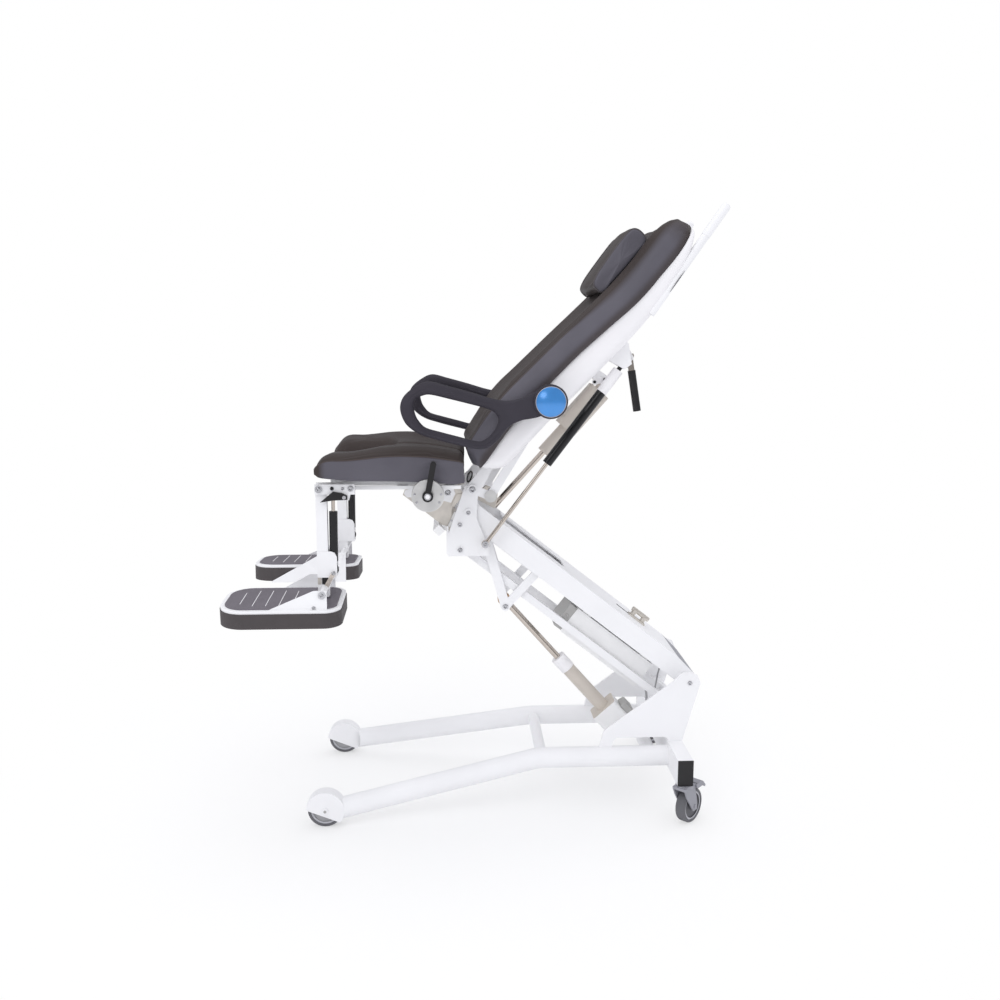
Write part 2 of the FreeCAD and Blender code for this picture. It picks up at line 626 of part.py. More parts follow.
bracket_outline = [(-196, 934), (-85, 846), (-74, 828), (-30, 828),
                   (-18, 930), (-30, 948), (-46, 952), (-78, 952),
                   (-100, 962), (-121, 966), (-190, 948)]
for side in (-1, 1):
    ys = sorted((side * (CARRIER_IN - 6), side * CARRIER_IN))
    wing = plate_y(bracket_outline, ys[0], ys[1])
    wing = wing.cut(rod_y(D, ys[0] - 1, ys[1] + 1, SEAT_SHAFT_R + RUN)).cut(carrier)
    add("seat_bracket", wing.cut(rod_y(A1, -300, 300, 48)))
square = box(-12, 12, -155, 155, -12, 12)
square.rotate(V(0, 0, 0), V(0, 1, 0), 45)
square.translate(V(-93, 0, 834))
for wing in NODES["seat_bracket"]:
    square = square.cut(wing)
add("seat_bracket", *square.Solids)


# Lift actuator, made along +X from its head pivot

def eye(x, r, bore, width):
    return rod_y((x, 0), -width / 2, width / 2, r, bore)


def bar_x(x0, x1, r):
    return Part.makeCylinder(r, x1 - x0, V(x0, 0, 0), V(1, 0, 0))


LIFT_LEN = math.hypot(K1[0] - K0[0], K1[1] - K0[1])
BORE_END = LIFT_GEAR_TOP
lift_rod = bar_x(OPEN_CLEAR + PIN_R + 4, LIFT_TUBE_TOP + ROD_HOLD, LIFT_ROD_R)
lift_rod = lift_rod.fuse(eye(0, PIN_R + OPEN_CLEAR + 6, 0, EYE_W))
lift_rod = lift_rod.cut(rod_y((0, 0), -40, 40, PIN_R + OPEN_CLEAR)).removeSplitter()
add("lift_actuator_rod", laid(lift_rod, K1, K0))
lift_tube = bar_x(LIFT_TUBE_TOP, BORE_END, LIFT_TUBE_R)
lift_tube = lift_tube.fuse(bar_x(LIFT_TUBE_TOP, LIFT_TUBE_TOP + 48, LIFT_TUBE_R + 2))
lift_tube = lift_tube.cut(bar_x(LIFT_TUBE_TOP - 1, BORE_END + 1, LIFT_ROD_R + BORE_PLAY))
add("lift_actuator_body", laid(lift_tube, K1, K0))
gear = box(BORE_END, BORE_END + LIFT_GEAR_LEN,
           -LIFT_GEAR_W / 2, LIFT_GEAR_W / 2, -LIFT_GEAR_H / 2, LIFT_GEAR_H / 2)
gear = gear.makeFillet(8.0, [e for e in gear.Edges if e.BoundBox.XLength > 50])
gear = gear.fuse(box(BORE_END + LIFT_GEAR_LEN - 1, LIFT_LEN - 12, -EYE_W / 2, EYE_W / 2, -14, 14))
gear = gear.fuse(eye(LIFT_LEN, 15, 0, EYE_W)).cut(rod_y((LIFT_LEN, 0), -50, 50, PIN_R + RUN)).removeSplitter()
add("lift_actuator_body", laid(gear, K1, K0))


# Two cables, from the control box and from inside the arm down to the base's cross tube

def cable(points, y, r):
    """Cable in one plane, ending just above the cross tube."""
    foot = points[-1]
    rise = math.sqrt((MOUNT_TUBE_R + SEATED) ** 2 - (foot - MOUNT_TUBE_X) ** 2)
    route = [V(x, y, z) for x, z in points[:-1]] + [V(foot, y, LEG_Z + rise + 0.5)]
    return bent_bar(route, CABLE_BEND, r)


box_exit = on_line(A1, A0, BOX_S1 + SEATED, -104.0)
arm_exit = on_line(A1, A0, 776.0, -ARM_LOW - SEATED)
box_turn = on_line(A1, A0, BOX_S1 + 34, -104.0)
add("control_cables", cable([box_exit, box_turn, (540.0, 255.0), 533.0], CABLE_Y, CABLE_R))
arm_turn = on_line(A1, A0, 776.0, -ARM_LOW - 14)
add("control_cables", cable([arm_exit, arm_turn, (568.0, 306.0), (548.0, 240.0), 540.0], WIRE_Y, WIRE_R))


# Back: frame, shell, pad, pillow and handles

def back_curve(points):
    """Smooth line through (t, n) points of the back."""
    line = Part.BSplineCurve()
    line.interpolate([V(back_point(t, n)[0], 0, back_point(t, n)[1]) for t, n in points])
    return line.toShape()


PAD_MIDDLE = [(PAD_BOTTOM, 55.0), (250.0, 77.0), (480.0, 58.0), (700.0, 28.0), (PAD_TOP, 24.0)]
SHELL_REAR = [(72.0, -8.0), (274.0, -27.0), (486.0, -56.0),
              (620.0, -66.0), (768.0, -56.0), (PAD_TOP - 12, -19.0)]


def pad_middle(t):
    """Height of the pad's middle line above the hinge line: a smooth curve through its points."""
    rows = PAD_MIDDLE
    count = len(rows)
    k = max(i for i in range(count - 1) if rows[i][0] <= t)
    slopes = []
    for i in (k, k + 1):
        (t0, n0), (t1, n1) = rows[max(i - 1, 0)], rows[min(i + 1, count - 1)]
        slopes.append((n1 - n0) / (t1 - t0))
    (t0, n0), (t1, n1) = rows[k], rows[k + 1]
    h = t1 - t0
    u = (t - t0) / h
    straight = n0 * (1 + 2 * u) * (1 - u) ** 2 + n1 * u * u * (3 - 2 * u)
    return straight + h * (slopes[0] * u * (1 - u) ** 2 - slopes[1] * u * u * (1 - u))


def pad_section(t, half, thick, dish):
    """Closed outline across the back pad at t: flat rear, round sides and a dished front."""
    mid = pad_middle(t)
    rear, front = mid - thick / 2, mid + thick / 2
    roll = min(62.0, half / 3)
    place = lambda y, n: V(back_point(t, n)[0], y, back_point(t, n)[1])
    arc = lambda a, b, c: Part.Arc(place(*a), place(*b), place(*c)).toShape()
    side = mid - 0.1 * thick
    edge = half - 14
    right = [arc((edge, rear), (half - 3, rear + 0.18 * thick), (half, side)),
             arc((half, side), (half - 0.28 * roll, front - 0.16 * thick), (half - roll, front))]
    left = [arc((roll - half, front), (0.28 * roll - half, front - 0.16 * thick), (-half, side)),
            arc((-half, side), (3 - half, rear + 0.18 * thick), (-edge, rear))]
    dip = arc((half - roll, front), (0, front - dish), (roll - half, front))
    base = Part.makeLine(place(-edge, rear), place(edge, rear))
    return Part.Wire(right + [dip] + left + [base])


PAD_STATIONS = [(PAD_BOTTOM, PAD_HALF - 38, PAD_T - 48, 4.0),
                (PAD_BOTTOM + 16, PAD_HALF - 18, PAD_T - 14, 8.0),
                (PAD_BOTTOM + 55, PAD_HALF - 4, PAD_T, 12.0), (250.0, PAD_HALF, PAD_T, 18.0),
                (365.0, PAD_HALF, PAD_T - 4, 18.0), (480.0, PAD_HALF, PAD_T - 6, 18.0),
                (590.0, PAD_HALF - 2, PAD_T - 2, 16.0), (700.0, PAD_HALF - 6, PAD_T + 4, 14.0),
                (790.0, PAD_HALF - 9, PAD_T + 6, 12.0), (PAD_TOP - 75, PAD_HALF - 14, PAD_T + 4, 10.0),
                (PAD_TOP - 22, PAD_HALF - 34, PAD_T - 18, 6.0), (PAD_TOP, PAD_HALF - 60, PAD_T - 44, 2.0)]
back_pad = Part.makeLoft([pad_section(*row) for row in PAD_STATIONS], True, False)


def pad_margin():
    """The pad grown by its seating gap, for cutting what touches it."""
    rows = [(t, half + SEATED, thick + 2 * SEATED, dish) for t, half, thick, dish in PAD_STATIONS]
    return Part.makeLoft([pad_section(*row) for row in rows], True, False)


def plate_back(points, y0, y1):
    """Flat plate with an outline of (t, n) points on the back."""
    return plate_y([back_point(t, n) for t, n in points], y0, y1)


def shell_fill(inset, half, ahead):
    """Space between the shell's rear curve and a line well in front of it."""
    rear = [(t, n + inset) for t, n in SHELL_REAR]
    rear[0] = (rear[0][0] + inset, rear[0][1])
    rear[-1] = (rear[-1][0] - inset, rear[-1][1])
    front = [(rear[-1][0], ahead + 22.0), (rear[0][0], ahead + 90.0)]
    ends = [V(back_point(*p)[0], 0, back_point(*p)[1]) for p in (rear[-1], front[0], front[1], rear[0])]
    lines = [Part.makeLine(a, b) for a, b in zip(ends, ends[1:])]
    face = Part.Face(Part.Wire([back_curve(rear)] + lines))
    face.translate(V(0, -half, 0))
    return face.extrude(V(0, 2 * half, 0))


BACK_IN = CARRIER_OUT + GAP             # inner faces of the hinge plates
BACK_OUT = BACK_IN + BACK_PLATE_T
FRAME_SIDE = [(-18, -14), (-18, 10), (-4, 18), (70, 20), (300, 18),
              (480, 6), (620, -16), (620, -45), (480, -42),
              (300, -22), (90, -4), (30, -18)]


def back_place(point):
    """The t and n on the back of a point (x, z)."""
    dx, dz = point[0] - S[0], point[1] - S[1]
    return dx * BACK_U[0] + dz * BACK_U[1], dz * BACK_U[0] - dx * BACK_U[1]


G1_T, G1_N = back_place(G1)


def back_frame():
    """Two hinge plates, cross bars and the brackets of actuator and gas spring."""
    frame = plate_back(FRAME_SIDE, -BACK_OUT, -BACK_IN).fuse(plate_back(FRAME_SIDE, BACK_IN, BACK_OUT))
    for side in (-1, 1):
        ys = sorted((side * BACK_IN, side * BACK_OUT))
        frame = frame.fuse(strap_y(S, STAY_FOOT, STAY_R, ys[0], ys[1]))
        frame = frame.fuse(strap_y(STAY_FOOT, back_point(STAY_TOP, -18), STAY_R, ys[0], ys[1]))
        ys = sorted((side * BACK_OUT, side * (BACK_OUT + STAY_BOSS)))
        frame = frame.fuse(rod_y(STAY_FOOT, ys[0], ys[1], STAY_R + 5))
    frame = frame.fuse(rod_y(back_point(200, 2), -BACK_IN, BACK_IN, 12))
    web = [(455, -40), (455, -33), (612, -38), (612, -45)]
    frame = frame.fuse(plate_back(web, -BACK_OUT, BACK_OUT))
    for y0 in (-EYE_W / 2 - 9, EYE_W / 2 + 1):
        frame = frame.fuse(strap_y(back_point(480, -42), B1, 15.0, y0, y0 + 8))
    frame = frame.fuse(rod_y(B1, -EYE_W / 2 - 9, EYE_W / 2 + 9, PIN_R))
    frame = frame.cut(rod_y(S, -200, 200, S_SHAFT_R + RUN)).cut(rod_y(HUB, -200, 200, HUB_SHAFT_R))
    return frame.removeSplitter()


def gas_bracket():
    """Clevis behind the shell for the gas spring's upper eye, with the release lever's lug."""
    half = G_EYE_W / 2 + GAP
    outline = [(525, -30), (525, -60), (G1_T - 16, G1_N - 12),
               (G1_T + 8, G1_N - 18), (G1_T + 45, -70), (600, -30)]
    clevis = plate_back(outline, G_Y - half - 5, G_Y - half)
    clevis = clevis.fuse(plate_back(outline, G_Y + half, G_Y + half + 5))
    foot = [(525, -36), (525, -30), (600, -30), (600, -36)]
    clevis = clevis.fuse(plate_back(foot, G_Y - half - 5, -BACK_OUT))
    clevis = clevis.fuse(rod_y(G1, G_Y - half - 5, G_Y + half + 5, PIN_R))
    lug_y = G_Y + half + 5
    lug = strap_y(back_point(590, -50), LEVER_PIVOT, 9.0, lug_y - 5, lug_y)
    outside = plate_back([(500, -40), (640, -40), (640, -140), (500, -140)], -400, 400)
    clevis = clevis.fuse(lug.common(outside))
    clevis = clevis.fuse(rod_y(LEVER_PIVOT, lug_y - 5, lug_y + LEVER_W + GAP + 3, LEVER_PIN_R))
    return clevis.removeSplitter()


def push_handle():
    """Left push handle: straight tube, thinner where it is held inside the shell."""
    start, end = back_point(*HANDLE_FOOT), back_point(*HANDLE_END)
    a, b, c = [V(x, -HANDLE_Y, z) for x, z in (start, on_line(start, end, HANDLE_HELD), end)]
    return rod(a, b, HANDLE_R - 1).fuse(rod(b, c, HANDLE_R)).removeSplitter()


frame_back = back_frame()
clevis_back = gas_bracket()
handle_left = push_handle()
hub_shaft = rod_y(HUB, -ARM_OUT - 2, ARM_OUT + 2, HUB_SHAFT_R)
for side in (-1, 1):
    ys = sorted((side * SHELL_HALF, side * (ARM_IN - GAP)))
    hub_shaft = hub_shaft.fuse(rod_y(HUB, ys[0], ys[1], HUB_SHAFT_R + 8))
shell = shell_fill(0.0, SHELL_HALF, 0.0).cut(shell_fill(SHELL_T, SHELL_HALF - SHELL_T, 20.0))
shell = shell.cut(pad_margin())
for piece in (frame_back, clevis_back, handle_left, mirrored(handle_left), hub_shaft):
    shell = shell.cut(piece)
add("back_frame", frame_back, clevis_back)
add("push_handles", handle_left, mirrored(handle_left))
add("armrest_shaft", hub_shaft.removeSplitter())
add("back_shell", max(shell.Solids, key=lambda s: s.Volume))
add("back_pad", back_pad)


def pillow_section(t, half, rear, front):
    """Closed outline across the pillow at t: crowned front and drawn-in sides."""
    place = lambda y, n: V(back_point(t, n)[0], y, back_point(t, n)[1])
    arc = lambda a, b, c: Part.Arc(place(*a), place(*b), place(*c)).toShape()
    mid = (rear + front) / 2
    side = 0.3 * (front - rear)
    edges = [arc((half - 16, rear), (half - 4, rear + 0.5 * side), (half, mid)),
             arc((half, mid), (half - 5, front - 0.6 * side), (half - 26, front - 6)),
             arc((half - 26, front - 6), (0, front), (26 - half, front - 6)),
             arc((26 - half, front - 6), (5 - half, front - 0.6 * side), (-half, mid)),
             arc((-half, mid), (4 - half, rear + 0.5 * side), (16 - half, rear)),
             Part.makeLine(place(16 - half, rear), place(half - 16, rear))]
    return Part.Wire(edges)


PILLOW_STATIONS = [(652.0, PILLOW_HALF - 14, 80.0, 100.0), (662.0, PILLOW_HALF - 4, 58.0, 112.0),
                   (710.0, PILLOW_HALF, 48.0, 121.0), (790.0, PILLOW_HALF, 48.0, 126.0),
                   (838.0, PILLOW_HALF - 4, 54.0, 126.0), (852.0, PILLOW_HALF - 14, 86.0, 112.0)]
pillow = Part.makeLoft([pillow_section(*row) for row in PILLOW_STATIONS], True, False).cut(pad_margin())
add("head_pillow", max(pillow.Solids, key=lambda s: s.Volume))


# Armrests

def armrest():
    """Left armrest: closed loop with a round hub."""
    x, z = HUB
    outer = [(-128, 1267, 40), (109, 1209, 70), (x - 5, z + 42, 4), (x - 5, z - 36, 4), (114, 1149, 60),
             (32, 1077, 45), (-146, 1119, 40), (-191, 1164, 34), (-191, 1212, 34)]
    inner = [(-115, 1229, 24), (42, 1191, 26), (74, 1172, 12), (66, 1136, 22), (14, 1102, 26),
             (-141, 1145, 20), (-159, 1178, 22), (-159, 1197, 18)]
    y0 = -ARM_Y - ARM_TUBE / 2
    ring = Part.Face(rounded(outer)).extrude(V(0, ARM_TUBE, 0))
    ring = ring.cut(Part.Face(rounded(inner)).extrude(V(0, ARM_TUBE, 0)))
    ring.translate(V(0, y0, 0))
    rims = [e for e in ring.Edges if e.BoundBox.YLength < 0.01]
    ring = ring.makeFillet(9.0, rims)
    arm = ring.fuse(rod_y(HUB, -ARM_OUT, -ARM_IN, HUB_R))
    return arm.cut(rod_y(HUB, -ARM_OUT - 1, -ARM_IN + 1, HUB_SHAFT_R + RUN)).removeSplitter()


arm_left = armrest()
cap = rod_y(HUB, -ARM_OUT - 2 - CAP_H, -ARM_OUT, HUB_R - 3)
cap = cap.makeFillet(CAP_H - 1, [e for e in cap.Edges if e.BoundBox.YMax < -ARM_OUT - 1])
cap = cap.cut(rod_y(HUB, -ARM_OUT - 2 - GAP, -ARM_OUT + 1, HUB_SHAFT_R + 2))
add("armrest_left", arm_left)
add("armrest_cap_left", cap)
add("armrest_right", mirrored(arm_left))
add("armrest_cap_right", mirrored(cap))

# Back actuator, made along +X from its foot on the carrier
B_LEN = math.hypot(B1[0] - B0[0], B1[1] - B0[1])
B_BORE = B_TUBE_START + ROD_HOLD + B_STROKE + 5
b_rod = bar_x(PIN_R + 4, B_TUBE_START + ROD_HOLD, B_ROD_R).fuse(eye(0, 15, 0, EYE_W))
add("back_actuator_rod", laid(b_rod.cut(rod_y((0, 0), -40, 40, PIN_R + RUN)).removeSplitter(), B0, B1))
b_gear = box(B_GEAR_START, B_GEAR_END, -B_GEAR_W / 2, B_GEAR_W / 2, -B_GEAR_H / 2, B_GEAR_H / 2)
b_gear = b_gear.makeFillet(12.0, [e for e in b_gear.Edges if e.BoundBox.XLength > 50])
b_gear = b_gear.fuse(box(B_GEAR_END - 1, B_LEN - 10, -EYE_W / 2, EYE_W / 2, -16, 16))
b_gear = b_gear.fuse(eye(B_LEN, PIN_R + OPEN_CLEAR + 6, 0, EYE_W))
b_gear = b_gear.cut(rod_y((B_LEN, 0), -50, 50, PIN_R + OPEN_CLEAR))
b_gear = b_gear.cut(bar_x(B_GEAR_START - 1, B_BORE, B_ROD_R + BORE_PLAY))
add("back_actuator_body", laid(b_gear.removeSplitter(), B0, B1))
b_tube = bar_x(B_TUBE_START, B_GEAR_START, B_TUBE_R)
b_tube = b_tube.cut(bar_x(B_TUBE_START - 1, B_GEAR_START + 1, B_ROD_R + BORE_PLAY))
add("back_actuator_body", laid(b_tube, B0, B1))


def gas_strut(length, rod_r, cyl_r, start, hold, eye_w, foot_bore, head_bore):
    """Rod and cylinder of a gas spring made along +X from the rod's eye."""
    eye_r = foot_bore + 5
    piston = bar_x(foot_bore + 2, start + hold, rod_r).fuse(eye(0, eye_r, 0, eye_w))
    piston = piston.cut(rod_y((0, 0), -eye_w, eye_w, foot_bore)).removeSplitter()
    head_r = head_bore + 4
    end = length - head_r - 12
    body = bar_x(start, end, cyl_r).fuse(bar_x(end - 2, length - head_bore - 1, rod_r + 0.5))
    body = body.fuse(eye(length, head_r, 0, eye_w)).cut(rod_y((length, 0), -eye_w, eye_w, head_bore))
    body = body.cut(bar_x(start - 1, length - head_r - 30, rod_r + BORE_PLAY))
    return piston, body.removeSplitter()


G_LEN = math.hypot(G1[0] - G0[0], G1[1] - G0[1])
g_rod, g_cyl = gas_strut(G_LEN, G_ROD_R, G_CYL_R, G_CYL_START, ROD_HOLD, G_EYE_W,
                         PIN_R + RUN, PIN_R + OPEN_CLEAR)
for name, piece in (("gas_spring_rod", g_rod), ("gas_spring_cylinder", g_cyl)):
    piece.translate(V(0, G_Y, 0))
    add(name, laid(piece, G0, G1))

lever_y0 = G_Y + G_EYE_W / 2 + GAP + 5 + GAP
stem_end = on_line(LEVER_PIVOT, GRIP_END, 36)
lever = strap_y(LEVER_PIVOT, stem_end, 8.0, lever_y0, lever_y0 + LEVER_W)
lever = lever.cut(rod_y(LEVER_PIVOT, -400, 400, LEVER_PIN_R + RUN))
lever_mid = lever_y0 + LEVER_W / 2
grip = rod(V(stem_end[0], lever_mid, stem_end[1]), V(GRIP_END[0], lever_mid, GRIP_END[1]), 11.0)
add("release_lever", lever.cut(grip))
add("release_lever", grip)


# Seat

def seat_edges(x):
    """Inner edge, outer edge, underside and crown of the left thigh pad at x."""
    if x > NOTCH_X + NOTCH_R:
        inner = -PAD_GAP - PAD_TRIM
    else:
        inner = -max(math.sqrt(NOTCH_R ** 2 - max(x - NOTCH_X, 0.0) ** 2), PAD_GAP + PAD_TRIM)
    splay = max(0.0, (SPLAY_X - x) / (SPLAY_X - SEAT_FRONT))
    outer = -(SEAT_HALF + SEAT_SPLAY * splay)
    mix = (x - SEAT_FRONT) / (SEAT_REAR - SEAT_FRONT)
    under = SEAT_EDGE_FRONT + (SEAT_EDGE_REAR - SEAT_EDGE_FRONT) * mix
    ends = min((x - SEAT_FRONT) / 60.0, (SEAT_REAR - x) / 45.0, 1.0)
    crown = SEAT_TOP - 30.0 * (1 - ends) ** 2
    return inner, outer, under, crown


def seat_section(x):
    """Closed outline across the left thigh pad: crowned top and drawn-in sides."""
    inner, outer, under, crown = seat_edges(x)
    end = min((x - SEAT_FRONT) / 24.0, (SEAT_REAR - x) / 14.0, 1.0)
    shy = 16.0 * (1 - end)
    inner, outer = inner - shy, outer + shy
    under = under + 1.2 * shy
    roll = min(34.0, (inner - outer) / 4)
    mid = under + 0.4 * (crown - under)
    shoulder = crown - 10
    edge = shoulder - 0.1 * (crown - under)
    place = lambda y, z: V(x, y, z)
    arc = lambda a, b, c: Part.Arc(place(*a), place(*b), place(*c)).toShape()
    middle = (inner + outer) / 2
    edges = [arc((outer + 10, under), (outer + 2, under + 0.15 * (crown - under)), (outer, mid)),
             arc((outer, mid), (outer + 0.25 * roll, edge), (outer + roll, shoulder)),
             arc((outer + roll, shoulder), (middle, crown), (inner - roll, shoulder)),
             arc((inner - roll, shoulder), (inner - 0.25 * roll, edge), (inner, mid)),
             arc((inner, mid), (inner - 2, under + 0.15 * (crown - under)), (inner - 10, under)),
             Part.makeLine(place(inner - 10, under), place(outer + 10, under))]
    return Part.Wire(edges)


notch_end = NOTCH_X + NOTCH_R
SEAT_STATIONS = [SEAT_FRONT + d for d in (1.0, 9.0, 24.0, 50.0)]
SEAT_STATIONS += [NOTCH_X + NOTCH_R * k for k in (0.0, 0.4, 0.7, 0.9, 0.98)]
SEAT_STATIONS += [notch_end + 6, (notch_end + SEAT_REAR) / 2]
SEAT_STATIONS += [SEAT_REAR - d for d in (45, 14, 5, 1)]
thigh_left = Part.makeLoft([seat_section(x) for x in SEAT_STATIONS], True, True)
thigh_left = thigh_left.common(box(SEAT_FRONT, SEAT_REAR, -SEAT_HALF - SEAT_SPLAY, -PAD_GAP,
                                   SEAT_EDGE_REAR - 5, SEAT_TOP + 5))
add("thigh_pad_left", thigh_left)
add("thigh_pad_right", mirrored(thigh_left))


def seat_board():
    """Wedge board under both pads, with the notch left open."""
    rise = (SEAT_EDGE_REAR - SEAT_EDGE_FRONT) / (SEAT_REAR - SEAT_FRONT)
    top = lambda x: SEAT_EDGE_FRONT + rise * (x - SEAT_FRONT) - SEATED
    x0, x1 = SEAT_FRONT + 32, SEAT_REAR - 22
    board = plate_y([(x0, RAIL_Z1), (x0, top(x0)), (x1, top(x1)), (x1, RAIL_Z1)], -BOARD_HALF, BOARD_HALF)
    notch = Part.makeCylinder(NOTCH_R + 18, 200, V(NOTCH_X, 0, 900)).fuse(
        box(SEAT_FRONT - 50, NOTCH_X, -NOTCH_R - 18, NOTCH_R + 18, 900, 1100))
    return board.cut(notch)


def seat_frame():
    """Two rails with cross bars, and the plates that hold the footrests at the front."""
    frame = None
    for side in (-1, 1):
        ys = sorted((side * RAIL_Y, side * (RAIL_Y + RAIL_W)))
        rail = box(RAIL_FRONT, RAIL_REAR, ys[0], ys[1], RAIL_Z0, RAIL_Z1)
        ear = plate_y([(D[0] - 24, RAIL_Z0 + 5), (D[0] - 18, D[1] - 18),
                       (D[0] + 18, D[1] - 18), (D[0] + 24, RAIL_Z0 + 5)],
                      ys[0], ys[1])
        ys = sorted((side * FOOT_OUT, side * (FOOT_OUT + RAIL_W - 1)))
        front = plate_y([(RAIL_FRONT, HOLD_Z0), (TRIGGER[0] - 16, HOLD_Z0), (TRIGGER[0] - 12, TRIGGER[1] - 9),
                         (TRIGGER[0] + 12, TRIGGER[1] - 9), (TRIGGER[0] + 16, HOLD_Z0),
                         (FRONT_PLATE_X1, HOLD_Z0), (FRONT_PLATE_X1, HOLD_Z1),
                         (RAIL_FRONT, HOLD_Z1)], ys[0], ys[1])
        ys = sorted((side * RAIL_Y, side * (RAIL_Y + RAIL_W)))
        cheek = box(RAIL_FRONT, TRIGGER[0] - 12, ys[0], ys[1], HOLD_Z0, HOLD_Z1)
        ys = sorted((side * RAIL_Y, side * FOOT_OUT))
        block = box(TRIGGER[0] - 12, FRONT_PLATE_X1, ys[0], ys[1], RAIL_Z0, RAIL_Z1)
        group = rail.fuse([ear, front, cheek, block])
        frame = group if frame is None else frame.fuse(group)
    for x in (CROSS_BAR_FRONT, CROSS_BAR_REAR):
        frame = frame.fuse(box(x - 15, x + 15, -RAIL_Y, RAIL_Y, RAIL_Z1 - 10, RAIL_Z1))
    for side in (-1, 1):
        ys = sorted((side * (RAIL_Y - 1), side * (FOOT_OUT + RAIL_W + 5)))
        frame = frame.cut(rod_y(F0, ys[0], ys[1], PIN_R)).cut(rod_y(F_BALL, ys[0], ys[1], BALL_R))
    frame = frame.cut(rod_y(D, -400, 400, SEAT_SHAFT_R))
    return frame.removeSplitter()


add("seat_board", *seat_board().Solids)
add("seat_frame", seat_frame())
rail_out = RAIL_Y + RAIL_W
disc_out = DISC_IN + DISC_T
lever_in = -disc_out - GAP
lever_out = lever_in - 16
add("seat_shaft", rod_y(D, lever_out - 2, rail_out + 4, SEAT_SHAFT_R))
disc = rod_y(D, -disc_out, -DISC_IN, DISC_R)
face_edges = [e for e in disc.Edges if e.BoundBox.YMax < -DISC_IN - 1]
disc = disc.makeFillet(2.0, [e for e in face_edges if e.BoundBox.XLength > DISC_R])
disc = disc.fuse(rod_y(D, -DISC_IN, -rail_out, SEAT_SHAFT_R + 9))
add("clamp_disc", disc.cut(rod_y(D, -disc_out - 1, -rail_out + 1, SEAT_SHAFT_R)).removeSplitter())
clamp = rod_y(D, lever_out, lever_in, 15.0)
clamp = clamp.fuse(strap_y((D[0], D[1] + 4), (D[0] + 16, D[1] + 88), 8.0, lever_out + 1, lever_in - 4))
clamp = clamp.cut(rod_y(D, lever_out - 1, lever_in + 1, SEAT_SHAFT_R + RUN)).removeSplitter()
add("clamp_lever", clamp)


# Footrests

def plan(inset, z0, z1):
    """Left footplate's outline drawn in by an inset, between two heights, before it is rolled."""
    half = PLATE_HALF - inset
    block = box(PLATE_FRONT + inset, PLATE_REAR - inset, -FOOT_Y - half, -FOOT_Y + half, z0, z1)
    upright = [e for e in block.Edges if e.BoundBox.ZLength > 0.5 * (z1 - z0)]
    middle = (PLATE_FRONT + PLATE_REAR) / 2
    block = block.makeFillet(TOE_R - inset, [e for e in upright if e.BoundBox.XMax < middle])
    heel = [e for e in block.Edges if e.BoundBox.ZLength > 0.5 * (z1 - z0) and e.BoundBox.XLength < 0.01
            and e.BoundBox.XMin > middle]
    heel = [e for e in heel if e.BoundBox.XMax > PLATE_REAR - inset - 0.01]
    return block.makeFillet(HEEL_R - inset, heel)


def rolled(shape):
    done = shape.copy()
    done.rotate(V(0, -FOOT_Y, PLATE_Z), V(1, 0, 0), PLATE_ROLL)
    return done


POST_IN, POST_OUT = FOOT_Y - POST_D / 2, FOOT_Y + POST_D / 2
COVER_T = 4.0
CHEEK_T = 4.0
CHEEK_OUT = FOOT_Y + PLATE_HALF - 12    # outer face of the cheek that stands on the outer rim
CHEEK_IN = FOOT_Y - PLATE_HALF - 0.5    # outer face of the cheek that hangs over the bumper's inner side
CHEEK_REAR = -392.0
CHEEK_TOP = 709.0
PIN_LOW = (-405.0, 697.0)


def footrest_post():
    """Left post with its swing bore and the cover plates round the gas spring's foot."""
    x0, x1 = POST_X - POST_W / 2, POST_X + POST_W / 2
    post = box(x0, x1, -POST_OUT, -POST_IN, POST_BOTTOM - 18, F0[1] - 14)
    post = post.fuse(strap_y(F0, (F0[0], F0[1] - 20), 10.5, -POST_OUT, -POST_IN))
    for y0 in (-POST_OUT - COVER_T, -POST_IN):
        cover = plate_y([(x0, 727), (x1 + 24, 727), (x1 + 24, 784), (x1 + 18, 796), (x1 + 8, 800), (x0, 800)],
                        y0, y0 + COVER_T)
        post = post.fuse(cover)
    post = post.fuse(rod_y(F_FOOT, -POST_OUT, -POST_IN, F_PIN_R))
    ball = V(F_BALL[0] - F0[0], 0, F_BALL[1] - F0[1])
    ball = FreeCAD.Rotation(V(0, 1, 0), -F_SWING).multVec(ball) + V(F0[0], -FOOT_Y, F0[1])
    post = post.cut(rod(ball, V(F_FOOT[0], -FOOT_Y, F_FOOT[1] + 20), F_CYL_R + 1.5))
    post = post.cut(rod_y(F0, -400, 0, PIN_R + RUN)).cut(rod_y(PIN_LOW, -400, 0, PIN_R))
    return post.removeSplitter()


def cheeks(below):
    """Outer cheek that stands on the plate, and inner cheek that covers the bumper's side."""
    rise = [(-427, CHEEK_TOP), (CHEEK_REAR, CHEEK_TOP)]
    outer = plate_y(rise + [(CHEEK_REAR, 600), (-552, 600), (-552, 656)], -CHEEK_OUT, -CHEEK_OUT + CHEEK_T)
    outer = max(outer.cut(below).Solids, key=lambda s: s.BoundBox.ZMax)
    low = PLATE_Z - 3 - RIM_T - BUMPER_H
    side = [(-464, CHEEK_TOP - 7), (CHEEK_REAR, CHEEK_TOP - 7), (CHEEK_REAR, low - 4),
            (-624, low - 4), (-624, low)]
    return outer, rolled(plate_y(side, -CHEEK_IN, -CHEEK_IN + CHEEK_T))


